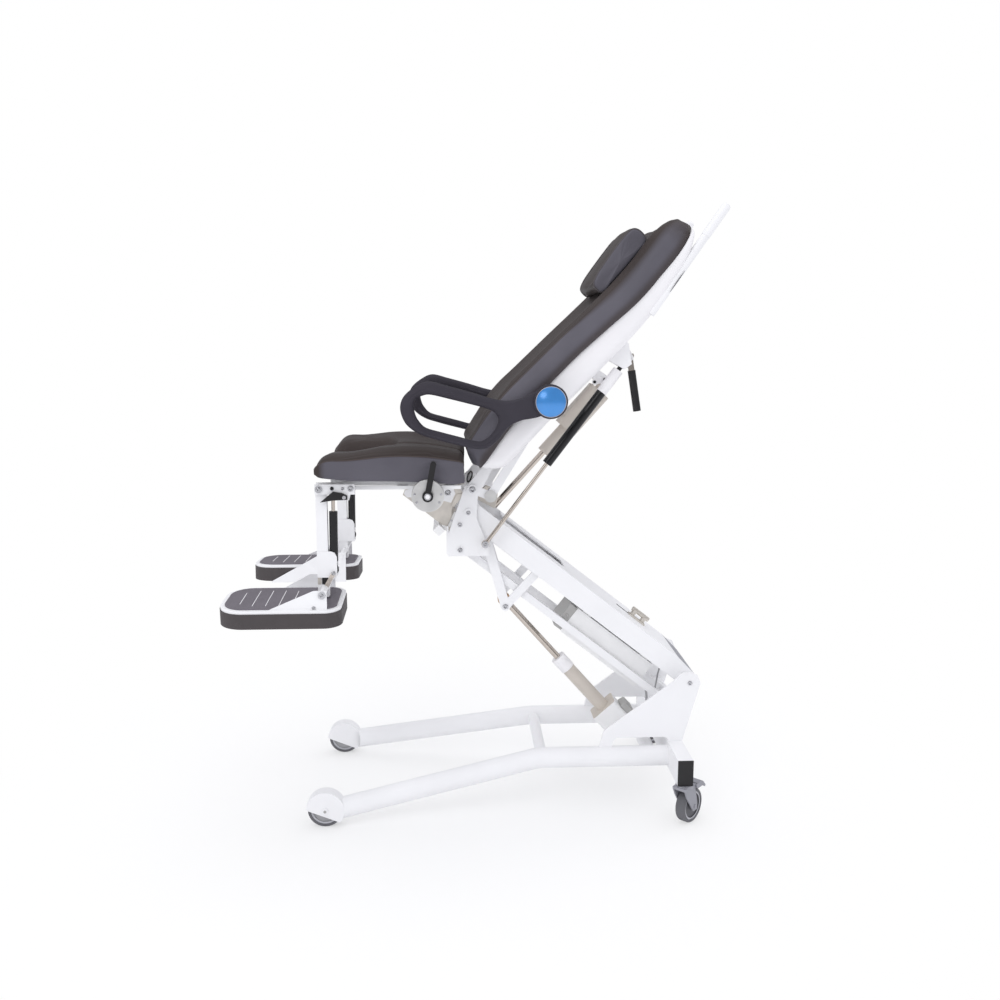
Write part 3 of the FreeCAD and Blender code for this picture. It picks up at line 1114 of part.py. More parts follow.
def footrest():
    """All fixed pieces of the left footrest, by name."""
    rim_z = PLATE_Z - 3
    low_z = rim_z - RIM_T
    tray = rolled(plan(2.0, low_z, rim_z))
    bumper = rolled(plan(0.0, low_z - BUMPER_H, low_z))
    bumper = bumper.cut(rolled(plan(9.0, low_z - BUMPER_H - 1, low_z - 6)))
    tread = rolled(plan(14.0, rim_z, PLATE_Z))
    outer, inner = cheeks(rolled(box(-900, 0, -600, 0, 400, rim_z)))
    hang = inner.BoundBox.YMax
    pin = bolt_y(PIN_LOW, -CHEEK_OUT, hang, PIN_R, PIN_R + 4, 4.0, -1)
    sleeve = rod_y(PIN_LOW, -CHEEK_OUT + CHEEK_T, -POST_OUT, PIN_R + 3, PIN_R)
    far = rod_y(PIN_LOW, -POST_IN, hang, PIN_R + 3, PIN_R).cut(inner)
    far = max(far.Solids, key=lambda s: s.Volume)
    hole = rod_y(PIN_LOW, -400, 0, PIN_R)
    stay = strap_y((-383, 736), (-416, 676), 6.0, -POST_OUT - COVER_T - 5, -POST_OUT - COVER_T).cut(sleeve)
    stay = max(stay.cut(hole).Solids, key=lambda s: s.BoundBox.ZMax)
    tread = tread.cut(outer).cut(footrest_post())
    return {"footrest_post": [footrest_post(), stay, sleeve, far, pin],
            "footplate": [tray, outer.cut(hole), inner.cut(hole)],
            "footplate_rubber": [bumper] + tread.Solids}


F_LEN = math.hypot(F_FOOT[0] - F_BALL[0], F_FOOT[1] - F_BALL[1])
f_rod, f_cyl = gas_strut(F_LEN, F_ROD_R, F_CYL_R, F_CYL_TOP, 56.0, 12.0, BALL_R + RUN, F_PIN_R + F_CLEAR)
moving = footrest()
for name, piece in (("footrest_spring_rod", f_rod), ("footrest_spring_cylinder", f_cyl)):
    piece.translate(V(0, -FOOT_Y, 0))
    moving[name] = [laid(piece, F_BALL, F_FOOT)]
swing_pin = bolt_y(F0, -FOOT_OUT - RAIL_W + 1, -RAIL_Y, PIN_R, PIN_R + 4, 4.0, -1)
ball_pin = bolt_y(F_BALL, -FOOT_OUT - RAIL_W + 1, -RAIL_Y, BALL_R, BALL_R + 1, GAP - 0.1, -1)
trigger_y = -FOOT_OUT - RAIL_W + 1 - GAP
trigger_pin = bolt_y(TRIGGER, trigger_y - TRIGGER_W - GAP, -FOOT_OUT - RAIL_W + 1, 3.0, 5.0, 2.0, -1)
for pin in (swing_pin, ball_pin, trigger_pin):
    add("footrest_pins", pin, mirrored(pin))
trigger = plate_y([(-411, 938), (-376, 967), (-352, 963), (-338, 956), (-338, 945), (-376, 943)],
                  trigger_y - TRIGGER_W, trigger_y)
moving["release_trigger"] = [trigger.cut(rod_y(TRIGGER, -400, 0, 3.0 + RUN))]
for name, pieces in moving.items():
    add(name + "_left", *pieces)
    add(name + "_right", *[mirrored(p) for p in pieces])

for name, pieces in NODES.items():
    solids = [solid for piece in pieces for solid in piece.Solids]
    shape = solids[0] if len(solids) == 1 else Part.makeCompound(solids)
    shape.exportStep("parts/" + name + ".step")
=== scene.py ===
import bpy
import math
import numpy as np
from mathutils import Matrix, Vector


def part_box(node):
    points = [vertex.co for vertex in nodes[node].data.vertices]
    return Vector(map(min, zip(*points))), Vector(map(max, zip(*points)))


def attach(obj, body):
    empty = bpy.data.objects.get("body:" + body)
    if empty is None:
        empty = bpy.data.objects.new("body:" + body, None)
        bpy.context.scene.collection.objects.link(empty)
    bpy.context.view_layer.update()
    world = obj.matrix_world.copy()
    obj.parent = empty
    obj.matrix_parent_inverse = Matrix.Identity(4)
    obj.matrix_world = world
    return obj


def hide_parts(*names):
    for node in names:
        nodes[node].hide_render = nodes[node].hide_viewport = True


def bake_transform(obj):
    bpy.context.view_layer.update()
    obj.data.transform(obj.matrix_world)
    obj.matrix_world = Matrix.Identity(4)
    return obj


# Gynecological examination chair: the looks of the part, in metres, in the part's own frame.

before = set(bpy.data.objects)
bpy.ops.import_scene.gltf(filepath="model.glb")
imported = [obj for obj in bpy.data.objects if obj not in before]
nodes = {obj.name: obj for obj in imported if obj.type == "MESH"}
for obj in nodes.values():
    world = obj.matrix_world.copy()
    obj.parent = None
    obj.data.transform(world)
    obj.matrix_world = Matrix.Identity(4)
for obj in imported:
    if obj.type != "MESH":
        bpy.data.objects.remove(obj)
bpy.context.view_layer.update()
scene = bpy.context.scene
LABEL = {-1: "left", 1: "right"}        # sign of Y on each side


# Skins: every new piece is a grid of points worked out as whole arrays.

def quads(rows, columns, closed=False):
    """Corner numbers of the quads over a grid of rings: each joins a point to its neighbours in row and column."""
    i = np.arange(rows if closed else rows - 1)[:, None]
    j = np.arange(columns)[None, :]
    i2, j2 = (i + 1) % rows, (j + 1) % columns
    return np.stack([i * columns + j, i * columns + j2, i2 * columns + j2, i2 * columns + j], -1).reshape(-1, 4)


def ends(rows, columns, first=0):
    """Corner numbers of the two filled ends of a grid of rings, wound like its sides."""
    last = first + (rows - 1) * columns
    return [list(range(first, first + columns))[::-1], list(range(last, last + columns))]


def volume(points, faces):
    """Six times the signed volume under faces: the triple products of their triangles, fanned from each first corner."""
    total = 0.0
    for face in faces:
        c = points[np.asarray(face)]
        total += np.einsum("ij,ij->", np.cross(c[1:-1] - c[0], c[2:] - c[0]), np.broadcast_to(c[0], c[1:-1].shape))
    return total


def put(name, data):
    """New object in the scene."""
    thing = bpy.data.objects.new(name, data)
    scene.collection.objects.link(thing)
    return thing


def make(name, points, faces, finish, body, slot=None, smooth=True, bevel=0.0, subdiv=0):
    """Mesh object at the origin that rides on a body; faces are turned outwards by the sign of the volume."""
    points = points.reshape(-1, 3)
    grid = np.asarray([f for f in faces if len(f) == 4])
    rest = [f for f in faces if len(f) != 4]
    sides = points[grid]
    size = volume(points, rest)
    for k in (1, 2):
        size += np.einsum("ij,ij->", np.cross(sides[:, k] - sides[:, 0], sides[:, k + 1] - sides[:, 0]), sides[:, 0])
    loops = grid.tolist() + rest
    if size < 0:
        loops = [f[::-1] for f in loops]
    mesh = bpy.data.meshes.new(name)
    mesh.from_pydata(points.tolist(), [], loops)
    mesh.polygons.foreach_set("use_smooth", np.full(len(loops), smooth))
    mesh.materials.append(finish)
    mesh.update()
    piece = put(name, mesh)
    if bevel:
        edge = piece.modifiers.new("edge", "BEVEL")
        edge.width, edge.segments, edge.limit_method, edge.angle_limit = bevel, 2, "ANGLE", math.radians(35)
    if subdiv:
        soft = piece.modifiers.new("soft", "SUBSURF")
        soft.levels = soft.render_levels = subdiv
    if body:
        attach(piece, body)
    return piece


def cluster(name, lofts, finish, body, **more):
    """Closed skins through rings of points, each with its two ends filled, kept as one piece."""
    points, faces, first = [], [], 0
    for rings in lofts:
        rows, columns = rings.shape[:2]
        faces += (quads(rows, columns) + first).tolist() + ends(rows, columns, first)
        points.append(rings.reshape(-1, 3))
        first += rows * columns
    return make(name, np.concatenate(points), faces, finish, body, **more)


def loft(name, rings, finish, body, **more):
    """One closed skin through rings of points."""
    return cluster(name, [rings], finish, body, **more)


def revolve(at, axis, profile, around):
    """Rings of a turned form: a profile of (height, radius) pairs carried round an axis, not upright, through a point."""
    axis = np.asarray(axis, float) / np.linalg.norm(axis)
    first = np.cross(axis, (0, 0, 1))
    first /= np.linalg.norm(first)
    angle = np.linspace(0, 2 * np.pi, around, endpoint=False)
    ring = np.cos(angle)[:, None] * first + np.sin(angle)[:, None] * np.cross(axis, first)
    profile = np.asarray(profile, float)
    return np.asarray(at) + profile[:, 0, None, None] * axis + profile[:, 1, None, None] * ring


def turned(name, at, axis, profile, finish, body, around, **more):
    """Turned piece from its profile."""
    return loft(name, revolve(at, axis, profile, around), finish, body, **more)


SCREW = np.array(((0, 1), (0.5, 1), (0.88, 0.9), (1, 0.7), (1, 0.52), (0.4, 0.48), (0.36, 0.04)))


def screws(name, finish, body, places):
    """Screw heads with a socket, turned about Y and facing outwards; a place is x, y, z, the head's radius and its height."""
    heads = [revolve((x, y, z), (0, math.copysign(1, y), 0), SCREW * (rise, radius), 24) for x, y, z, radius, rise in places]
    return cluster(name, heads, finish, body)


def pipe(name, path, radius, finish, body, around, closed=False, **more):
    """Round bar: a circle carried along a path that keeps near one Y, square to the path's own direction at each point."""
    if closed:
        along = np.roll(path, -1, 0) - np.roll(path, 1, 0)
    else:
        along = np.gradient(path, axis=0)
    along /= np.linalg.norm(along, axis=1, keepdims=True)
    first = np.cross(along, (0, 1, 0))
    first /= np.linalg.norm(first, axis=1, keepdims=True)
    second = np.cross(along, first)
    angle = np.linspace(0, 2 * np.pi, around, endpoint=False)
    radius = np.broadcast_to(radius, len(path))[:, None, None]
    ring = np.cos(angle)[None, :, None] * first[:, None] + np.sin(angle)[None, :, None] * second[:, None]
    rings = path[:, None] + radius * ring
    if closed:
        return make(name, rings, quads(len(path), around, True).tolist(), finish, body, **more)
    return loft(name, rings, finish, body, **more)


def board(name, finish, slot, body, bevel, y0, y1, outline):
    """Flat piece: an (x, z) outline carried straight from one Y to another."""
    outline = np.asarray(outline, float)
    rings = np.stack([np.stack([outline[:, 0], np.full(len(outline), y), outline[:, 1]], -1) for y in (y0, y1)])
    return loft(name, rings, finish, body, slot=slot, smooth=False, bevel=bevel)


def flow(x, xs, ys):
    """Smooth curve through points: cubic pieces whose slopes are those of the neighbouring points' chord."""
    x = np.clip(x, xs[0], xs[-1])
    slope = np.gradient(ys, xs)
    k = np.clip(np.searchsorted(xs, x, side="right") - 1, 0, len(xs) - 2)
    h = xs[k + 1] - xs[k]
    u = (x - xs[k]) / h
    straight = ys[k] * (1 + 2 * u) * (1 - u) ** 2 + ys[k + 1] * u * u * (3 - 2 * u)
    return straight + h * (slope[k] * u * (1 - u) ** 2 - slope[k + 1] * u * u * (1 - u))


def bow(a, b, c, count):
    """Points on the circle through three points, from the first to the last; each point is (rows, 2)."""
    d = 2 * (a[:, 0] * (b[:, 1] - c[:, 1]) + b[:, 0] * (c[:, 1] - a[:, 1]) + c[:, 0] * (a[:, 1] - b[:, 1]))
    d = np.where(np.abs(d) < 1e-12, 1e-12, d)
    sa, sb, sc = [(p ** 2).sum(1) for p in (a, b, c)]
    centre = np.stack([(sa * (b[:, 1] - c[:, 1]) + sb * (c[:, 1] - a[:, 1]) + sc * (a[:, 1] - b[:, 1])) / d,
                       (sa * (c[:, 0] - b[:, 0]) + sb * (a[:, 0] - c[:, 0]) + sc * (b[:, 0] - a[:, 0])) / d], 1)
    place = lambda p: np.arctan2(*(p - centre).T[::-1])
    sweep = lambda p, q: (place(q) - place(p) + np.pi) % (2 * np.pi) - np.pi
    full = sweep(a, b) + sweep(b, c)
    angle = place(a)[:, None] + full[:, None] * np.linspace(0, 1, count, endpoint=False)
    radius = np.linalg.norm(a - centre, axis=1)[:, None]
    return centre[:, None] + np.stack([radius * np.cos(angle), radius * np.sin(angle)], -1)


# Finishes

def blank(name):
    """New material with its node tree, its shader and the piece's own coordinates."""
    material = bpy.data.materials.new(name)
    material.use_nodes = True
    tree = material.node_tree
    return material, tree, tree.nodes["Principled BSDF"], tree.nodes.new("ShaderNodeTexCoord").outputs["Object"]


def feed(tree, socket, value):
    """Joins a socket to another one, or sets a plain number or colour on it."""
    if isinstance(value, bpy.types.NodeSocket):
        tree.links.new(value, socket)
    else:
        socket.default_value = value


def noise(tree, where, scale, detail):
    """Noise on the piece's own coordinates."""
    field = tree.nodes.new("ShaderNodeTexNoise")
    field.inputs["Scale"].default_value = scale
    field.inputs["Detail"].default_value = detail
    tree.links.new(where, field.inputs["Vector"])
    return field.outputs["Fac"]


def attribute(tree, name):
    """Value that a piece keeps at each of its points."""
    field = tree.nodes.new("ShaderNodeAttribute")
    field.attribute_name = name
    return field.outputs["Fac"]


def maths(tree, operation, *values):
    """One step of arithmetic on values."""
    step = tree.nodes.new("ShaderNodeMath")
    step.operation = operation
    for socket, value in zip(step.inputs, values):
        feed(tree, socket, value)
    return step.outputs[0]


def spread(tree, value, low, high, start=0.3, end=0.7):
    """Moves a value from one range to another."""
    step = tree.nodes.new("ShaderNodeMapRange")
    for socket, number in (("From Min", start), ("From Max", end), ("To Min", low), ("To Max", high)):
        step.inputs[socket].default_value = number
    tree.links.new(value, step.inputs["Value"])
    return step.outputs["Result"]


def shade(tree, value, dark, light):
    """Mixes two colours by a value."""
    mix = tree.nodes.new("ShaderNodeMix")
    mix.data_type = "RGBA"
    for socket, colour in zip((mix.inputs[6], mix.inputs[7]), (dark, light)):
        feed(tree, socket, colour if isinstance(colour, bpy.types.NodeSocket) else (*colour, 1))
    tree.links.new(value, mix.inputs[0])
    return mix.outputs[2]


def relief(tree, height, strength, depth, under=None):
    """Bumps from a height, laid over other bumps where there are some."""
    bump = tree.nodes.new("ShaderNodeBump")
    bump.inputs["Strength"].default_value = strength
    bump.inputs["Distance"].default_value = depth
    tree.links.new(height, bump.inputs["Height"])
    if under is not None:
        tree.links.new(under, bump.inputs["Normal"])
    return bump.outputs["Normal"]


def finish(name, colour, rough, vary, mottle, grain, depth, metal=0.0, wear=0.06, **sockets):
    """Paint, plastic or metal: slow noise shifts colour and gloss, fine noise gives the grain of the surface."""
    material, tree, shader, where = blank(name)
    slow = noise(tree, where, mottle, 4.0)
    fine = noise(tree, where, grain, 2.0)
    colour = np.asarray(colour, float)
    tone = shade(tree, spread(tree, slow, 0.0, 1.0), colour * (1 - vary), np.minimum(colour * (1 + vary), 1.0))
    tree.links.new(tone, shader.inputs["Base Color"])
    tree.links.new(spread(tree, slow, max(rough - wear, 0.04), rough + wear), shader.inputs["Roughness"])
    tree.links.new(relief(tree, fine, 0.5, depth), shader.inputs["Normal"])
    shader.inputs["Metallic"].default_value = metal
    for socket, number in sockets.items():
        shader.inputs[socket.replace("_", " ")].default_value = number
    return material


STITCH = 5.0        # millimetres


def upholstery(name, top, flank):
    """Soft vinyl: fine pebble grain, a slow sheen change, a lighter, bluer flank colour that paints sheen on the sides
    (over real side panels on the thigh pads and pillow), and a raised seam with a painted highlight, read from the
    piece's own attributes.
    """
    material, tree, shader, where = blank(name)
    top, flank = np.asarray(top, float), np.asarray(flank, float)
    seam, run, panel_and_sheen = [attribute(tree, label) for label in ("seam", "run", "flank")]
    ridge = spread(tree, seam, 1.0, 0.0, 0.8, 2.6)
    thread = spread(tree, seam, 1.0, 0.0, 0.2, 0.9)
    wave = maths(tree, "SINE", maths(tree, "MULTIPLY", run, 2 * math.pi / STITCH))
    stitch = maths(tree, "MULTIPLY", spread(tree, wave, 0.0, 1.0, -0.5, 0.1), thread)
    slow = noise(tree, where, 6.0, 3.0)
    cloud = spread(tree, slow, 0.0, 1.0)
    # The flank colour is painted sheen: the sides are drawn lighter and bluer than the top, as if catching the cool
    # surround.
    tone = shade(tree, panel_and_sheen, shade(tree, cloud, top * 0.9, top * 1.1), shade(tree, cloud, flank * 0.9, flank * 1.1))
    # Painted highlight: the raised welt along the seam is drawn 2.6 times lighter than the top colour.
    tone = shade(tree, spread(tree, ridge, 0.0, 0.55, 0.3, 1.0), tone, top * 2.6)
    tree.links.new(tone, shader.inputs["Base Color"])
    tree.links.new(spread(tree, slow, 0.38, 0.5), shader.inputs["Roughness"])
    cells = tree.nodes.new("ShaderNodeTexVoronoi")
    cells.feature = "DISTANCE_TO_EDGE"
    cells.inputs["Scale"].default_value = 620.0
    tree.links.new(where, cells.inputs["Vector"])
    grain = relief(tree, spread(tree, cells.outputs["Distance"], 0.0, 1.0, 0.0, 0.25), 0.35, 0.0002)
    welt = relief(tree, maths(tree, "SUBTRACT", ridge, stitch), 0.8, 0.0012, grain)
    tree.links.new(welt, shader.inputs["Normal"])
    shader.inputs["Sheen Weight"].default_value = 0.04
    shader.inputs["Sheen Roughness"].default_value = 0.4
    shader.inputs["Specular IOR Level"].default_value = 0.14
    return material


coat = finish("powder_coat", (0.88, 0.88, 0.888), 0.46, 0.02, 7.0, 420.0, 0.000012)
shell_white = finish("moulded_white", (0.88, 0.87, 0.88), 0.42, 0.02, 5.0, 500.0, 0.00005)
# Second colour: the flank colour, a painted sheen on the pads' sides.
vinyl = upholstery("charcoal_vinyl", (0.054, 0.043, 0.04), (0.115, 0.11, 0.13))
arm_foam = finish("armrest_foam", (0.046, 0.042, 0.053), 0.56, 0.08, 16.0, 1100.0, 0.0001, Specular_IOR_Level=0.15)
cap_blue = finish("cap_blue", (0.045, 0.27, 0.69), 0.34, 0.06, 20.0, 900.0, 0.00003, metal=0.4,
                  Coat_Weight=1.0, Coat_Roughness=0.16)
motor_grey = finish("motor_grey", (0.6, 0.55, 0.49), 0.4, 0.04, 14.0, 800.0, 0.00008)
box_grey = finish("box_grey", (0.89, 0.89, 0.885), 0.45, 0.03, 14.0, 800.0, 0.00008)
motor_dark = finish("motor_dark", (0.44, 0.435, 0.42), 0.5, 0.06, 14.0, 800.0, 0.00008)
steel = finish("bright_steel", (0.6, 0.54, 0.48), 0.15, 0.05, 5.0, 1600.0, 0.000004, metal=1.0, wear=0.03)
bolt_steel = finish("bolt_steel", (0.6, 0.6, 0.62), 0.27, 0.1, 60.0, 500.0, 0.00006, metal=1.0)
bronze = finish("bush_bronze", (0.42, 0.25, 0.13), 0.32, 0.15, 60.0, 500.0, 0.00006, metal=1.0)
gloss = finish("gloss_black", (0.01, 0.01, 0.011), 0.12, 0.15, 10.0, 500.0, 0.00001, wear=0.03, Specular_IOR_Level=0.35)
plastic = finish("black_plastic", (0.02, 0.019, 0.02), 0.36, 0.14, 18.0, 900.0, 0.0001, Specular_IOR_Level=0.3)
caster = finish("caster_plastic", (0.29, 0.29, 0.32), 0.45, 0.06, 18.0, 900.0, 0.00015)
tyre = finish("tyre_rubber", (0.125, 0.125, 0.135), 0.6, 0.1, 22.0, 700.0, 0.0003)
rim_pale = finish("rim_pale", (0.5, 0.5, 0.53), 0.42, 0.05, 22.0, 800.0, 0.00015)
rim_dull = finish("rim_dull", (0.4, 0.4, 0.41), 0.5, 0.06, 22.0, 800.0, 0.00015)
clamp_metal = finish("clamp_metal", (0.72, 0.715, 0.7), 0.34, 0.1, 24.0, 420.0, 0.00012, metal=0.85)
zinc = finish("zinc_plate", (0.69, 0.65, 0.59), 0.45, 0.12, 26.0, 300.0, 0.0001, metal=0.6)
rubber = finish("foot_rubber", (0.062, 0.053, 0.054), 0.62, 0.1, 20.0, 620.0, 0.0003)
tread_grey = finish("tread_grey", (0.165, 0.15, 0.172), 0.6, 0.06, 20.0, 520.0, 0.0003)
cable_grey = finish("cable_grey", (0.34, 0.34, 0.35), 0.5, 0.06, 30.0, 800.0, 0.0001)
piping = finish("piping_vinyl", (0.085, 0.076, 0.08), 0.4, 0.08, 20.0, 900.0, 0.0001)

# The finish of each CAD node; a name that ends in _ stands for the left and the right one.
NODE_FINISH = {
    coat: "base_legs side_plates base_cross_members rear_beam base_shafts lift_arm actuator_bracket parallel_link carrier_frame "
          "carrier_pins back_frame push_handles armrest_shaft seat_frame seat_board footrest_post_ footplate_",
    shell_white: "back_shell",
    plastic: "beam_end_caps clamp_lever release_trigger_",
    bolt_steel: "footrest_pins seat_shaft",
    tyre: "front_wheel_ caster_wheel_",
    caster: "caster_fork_ brake_pedal_",
    motor_grey: "lift_actuator_body back_actuator_body",
    box_grey: "control_box",
    zinc: "seat_bracket cable_hook",
    steel: "lift_actuator_rod back_actuator_rod gas_spring_rod release_lever footrest_spring_rod_",
    gloss: "gas_spring_cylinder footrest_spring_cylinder_",
    vinyl: "back_pad head_pillow thigh_pad_",
    arm_foam: "armrest_",
    cap_blue: "armrest_cap_",
    clamp_metal: "clamp_disc",
    cable_grey: "control_cables",
    rubber: "footplate_rubber_",
}
for material, names in NODE_FINISH.items():
    for name in names.split():
        for node in [name + label for label in LABEL.values()] if name.endswith("_") else [name]:
            skin = nodes[node].data
            skin.materials.clear()
            skin.materials.append(material)


def second_finish(name, material, inside):
    """Gives the faces of a CAD node whose middles pass a test on (x, y, z) one more finish."""
    skin = nodes[name].data
    skin.materials.append(material)
    middle, kept = np.zeros(len(skin.polygons) * 3), np.zeros(len(skin.polygons), np.int32)
    skin.polygons.foreach_get("center", middle)
    skin.polygons.foreach_get("material_index", kept)
    chosen = inside(*middle.reshape(-1, 3).T)
    skin.polygons.foreach_set("material_index", np.where(chosen, len(skin.materials) - 1, kept).astype(np.int32))
    skin.update()


def heading(start, end):
    """Unit direction in the XZ plane from one place to another."""
    line = np.array(end) - np.array(start)
    return line / np.linalg.norm(line)


def off_line(x, z, start, end):
    """Length along and height above a line in the XZ plane."""
    along = heading(start, end)
    return (x - start[0]) * along[0] + (z - start[1]) * along[1], (z - start[1]) * along[0] - (x - start[0]) * along[1]


WHEEL_RING, WHEEL_DISH = 0.0405, 0.0362     # outer radii of the pale ring and of the dish


def wheel_core(name, axis, dish):
    """Pale ring and dish of a wheel: the faces nearer its axle than the tyre's and the ring's inner radius."""
    low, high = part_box(name)
    middle = (np.array(low) + np.array(high)) / 2
    axis = np.array(axis) / np.linalg.norm(axis)
    def off_axle(x, y, z):
        """Distance square to the axle's line."""
        rel = np.stack([x, y, z], -1) - middle
        return np.linalg.norm(rel - (rel @ axis)[:, None] * axis, axis=1)
    second_finish(name, rim_pale, lambda *at: off_axle(*at) < WHEEL_RING)
    second_finish(name, dish, lambda *at: off_axle(*at) < WHEEL_DISH)


# Lines in the XZ plane, each from its upper to its lower end, and places on it.
ARM = (-0.009, 0.882), (0.64, 0.374)
LIFT = (0.10044, 0.59188), (0.468, 0.177)
LEVER = (0.448, 1.322), (0.472, 1.172)
BAR, BAR_REACH = (-0.093, 0.834), 0.0176
BOSS, BOSS_REACH = (0.0557, 0.9295), 0.019
# Lengths along those lines where a finish changes.
BOX_CAP_END, ARM_REAR, BUSH_END, TUBE_HEAD_END, MOTOR_START, GRIP_START = 0.4495, 0.78, 0.0205, 0.2991, 0.478, 0.0365
# The tops of the footplates fall outwards at this slope from their height at this Y.
TREAD_SLOPE, TREAD_Y, TREAD_TOP, TREAD_FOOT = 0.0612, 0.25, 0.6671, 0.6632


def spacer(x, y, z):
    """Bright spacer low on a footrest post."""
    return (np.abs(y) > 0.2661) & (np.abs(y) < 0.2715) & (z > 0.698) & (z < 0.7425)


def arm_end_shade(x, y, z):
    """Rear end of the lift arm's top, painted darker grey as shade on its slanted end face."""
    along, above = off_line(x, z, *ARM)
    return (along > ARM_REAR) & (above > 0.002) & (np.abs(y) < 0.1)


def hinge_boss(x, y, z):
    """Boss on the outside of the back's hinge plate."""
    return (np.abs(y) > 0.1386) & (np.hypot(x - BOSS[0], z - BOSS[1]) < BOSS_REACH)


for side, label in LABEL.items():
    wheel_core("front_wheel_" + label, (0, 1, 0), rim_dull)
    wheel_core("caster_wheel_" + label, (side, 1, 0), tyre)
    second_finish("footplate_rubber_" + label, tread_grey, lambda x, y, z: z - TREAD_SLOPE * (TREAD_Y - side * y) > TREAD_FOOT)
    second_finish("footrest_post_" + label, bolt_steel, lambda x, y, z: np.abs(y) > 0.3455)
    second_finish("footrest_post_" + label, steel, spacer)
# Painted shade: the slanted rear end of the arm's top in a darker grey finish.
second_finish("lift_arm", caster, arm_end_shade)
second_finish("carrier_pins", bolt_steel, lambda x, y, z: x > 0.025)
second_finish("lift_actuator_rod", bronze, lambda x, y, z: off_line(x, z, *LIFT)[0] < BUSH_END)
second_finish("release_lever", plastic, lambda x, y, z: off_line(x, z, *LEVER)[0] > GRIP_START)
second_finish("control_box", motor_dark, lambda x, y, z: off_line(x, z, *ARM)[0] < BOX_CAP_END)
second_finish("lift_actuator_body", box_grey, lambda x, y, z: off_line(x, z, *LIFT)[0] > MOTOR_START)
second_finish("lift_actuator_body", shell_white, lambda x, y, z: off_line(x, z, *LIFT)[0] < TUBE_HEAD_END)
second_finish("seat_bracket", box_grey, lambda x, y, z: np.hypot(x - BAR[0], z - BAR[1]) < BAR_REACH)
second_finish("back_frame", clamp_metal, hinge_boss)

# The back's own directions: t runs up the back from its hinge, n stands out of its front.
HINGE = np.array((0.003, 0.95))
TILT = math.radians(50.0)


def on_back(t, y, n):
    """Points of the back from t, y and n: the hinge plus t along the tilted back and n square to it."""
    t, y, n = np.broadcast_arrays(t, y, n)
    x = HINGE[0] + t * math.cos(TILT) - n * math.sin(TILT)
    z = HINGE[1] + t * math.sin(TILT) + n * math.cos(TILT)
    return np.stack([x, y, z], -1)


# Soft pieces

SWELL_FRAMES = 20


def swell(points, faces, held, limit):
    """Cloth under a little air pressure with its seams and underside held; no point moves further than the limit."""
    mesh = bpy.data.meshes.new("swelling")
    mesh.from_pydata(points.tolist(), [], faces)
    skin = put("swelling", mesh)
    group = skin.vertex_groups.new(name="held")
    for weight in np.unique(held[held > 0]):
        group.add(np.flatnonzero(held == weight).tolist(), float(weight), "REPLACE")
    cloth = skin.modifiers.new("cloth", "CLOTH").settings
    cloth.quality = 4
    cloth.use_pressure = True
    cloth.uniform_pressure_force = 4.0
    cloth.effector_weights.gravity = 0.0
    cloth.vertex_group_mass = "held"
    cloth.tension_stiffness = cloth.compression_stiffness = 12.0
    cloth.bending_stiffness = 0.6
    for step in range(1, SWELL_FRAMES + 1):
        scene.frame_set(step)
    result = skin.evaluated_get(bpy.context.evaluated_depsgraph_get()).to_mesh()
    swollen = np.zeros(len(points) * 3)
    result.vertices.foreach_get("co", swollen)
    scene.frame_set(1)
    bpy.data.objects.remove(skin)
    bpy.data.meshes.remove(mesh)
    move = swollen.reshape(-1, 3) - points
    far = np.linalg.norm(move, axis=1, keepdims=True)
    return points + move * np.minimum(1.0, limit / np.maximum(far, 1e-9))


def cushion(name, rings, held, seam, run, flank, limit, node, body):
    """Padded piece: closed skin through rings, swollen by cloth, that keeps three attributes: millimetres off its seam,
    millimetres along its seam, and the share of the flank colour, which is painted sheen."""
    rows, columns = rings.shape[:2]
    faces = quads(rows, columns).tolist() + ends(rows, columns)
    points = swell(rings.reshape(-1, 3), faces, held.ravel(), limit)
    piece = make(name, points, faces, vinyl, body, slot="upholstery", subdiv=1)
    for label, values in (("seam", seam), ("run", run), ("flank", flank)):
        layer = piece.data.attributes.new(label, "FLOAT", "POINT")
        layer.data.foreach_set("value", np.broadcast_to(values, (rows, columns)).ravel().astype(np.float32))
    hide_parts(node)
    return points.reshape(rows, columns, 3)


def lengths(rings):
    """Millimetres along each ring from its first point."""
    step = np.linalg.norm(np.diff(np.concatenate([rings, rings[:, :1]], 1), axis=1), axis=-1)
    return np.concatenate([np.zeros((len(rings), 1)), np.cumsum(step, 1)[:, :-1]], 1) * 1000


# Back pad in millimetres: t, middle of its thickness, half width, thickness, dish of its front.
PAD_ROWS = np.array((
    (63, 40, 206, 26, 3), (68, 46, 218, 40, 5), (74, 54, 226, 56, 7), (80, 61, 231, 70, 9), (92, 66, 235, 79, 11),
    (117, 69, 238, 80, 13), (180, 75, 240, 80, 16), (250, 77, 240, 80, 18), (365, 69, 240, 76, 18), (480, 58, 240, 74, 18),
    (590, 43, 238, 78, 16), (700, 29, 235, 85, 14), (790, 27, 232, 88, 12), (871, 30, 228, 90, 10), (905, 31, 220, 82, 8),
    (930, 28, 205, 62, 5), (941, 25, 190, 42, 3), (947, 23, 174, 20, 1),
)) / 1000
SIDE_STEPS, ROLL_STEPS, FACE_STEPS, SEAM_STEP = 7, 14, 40, 8


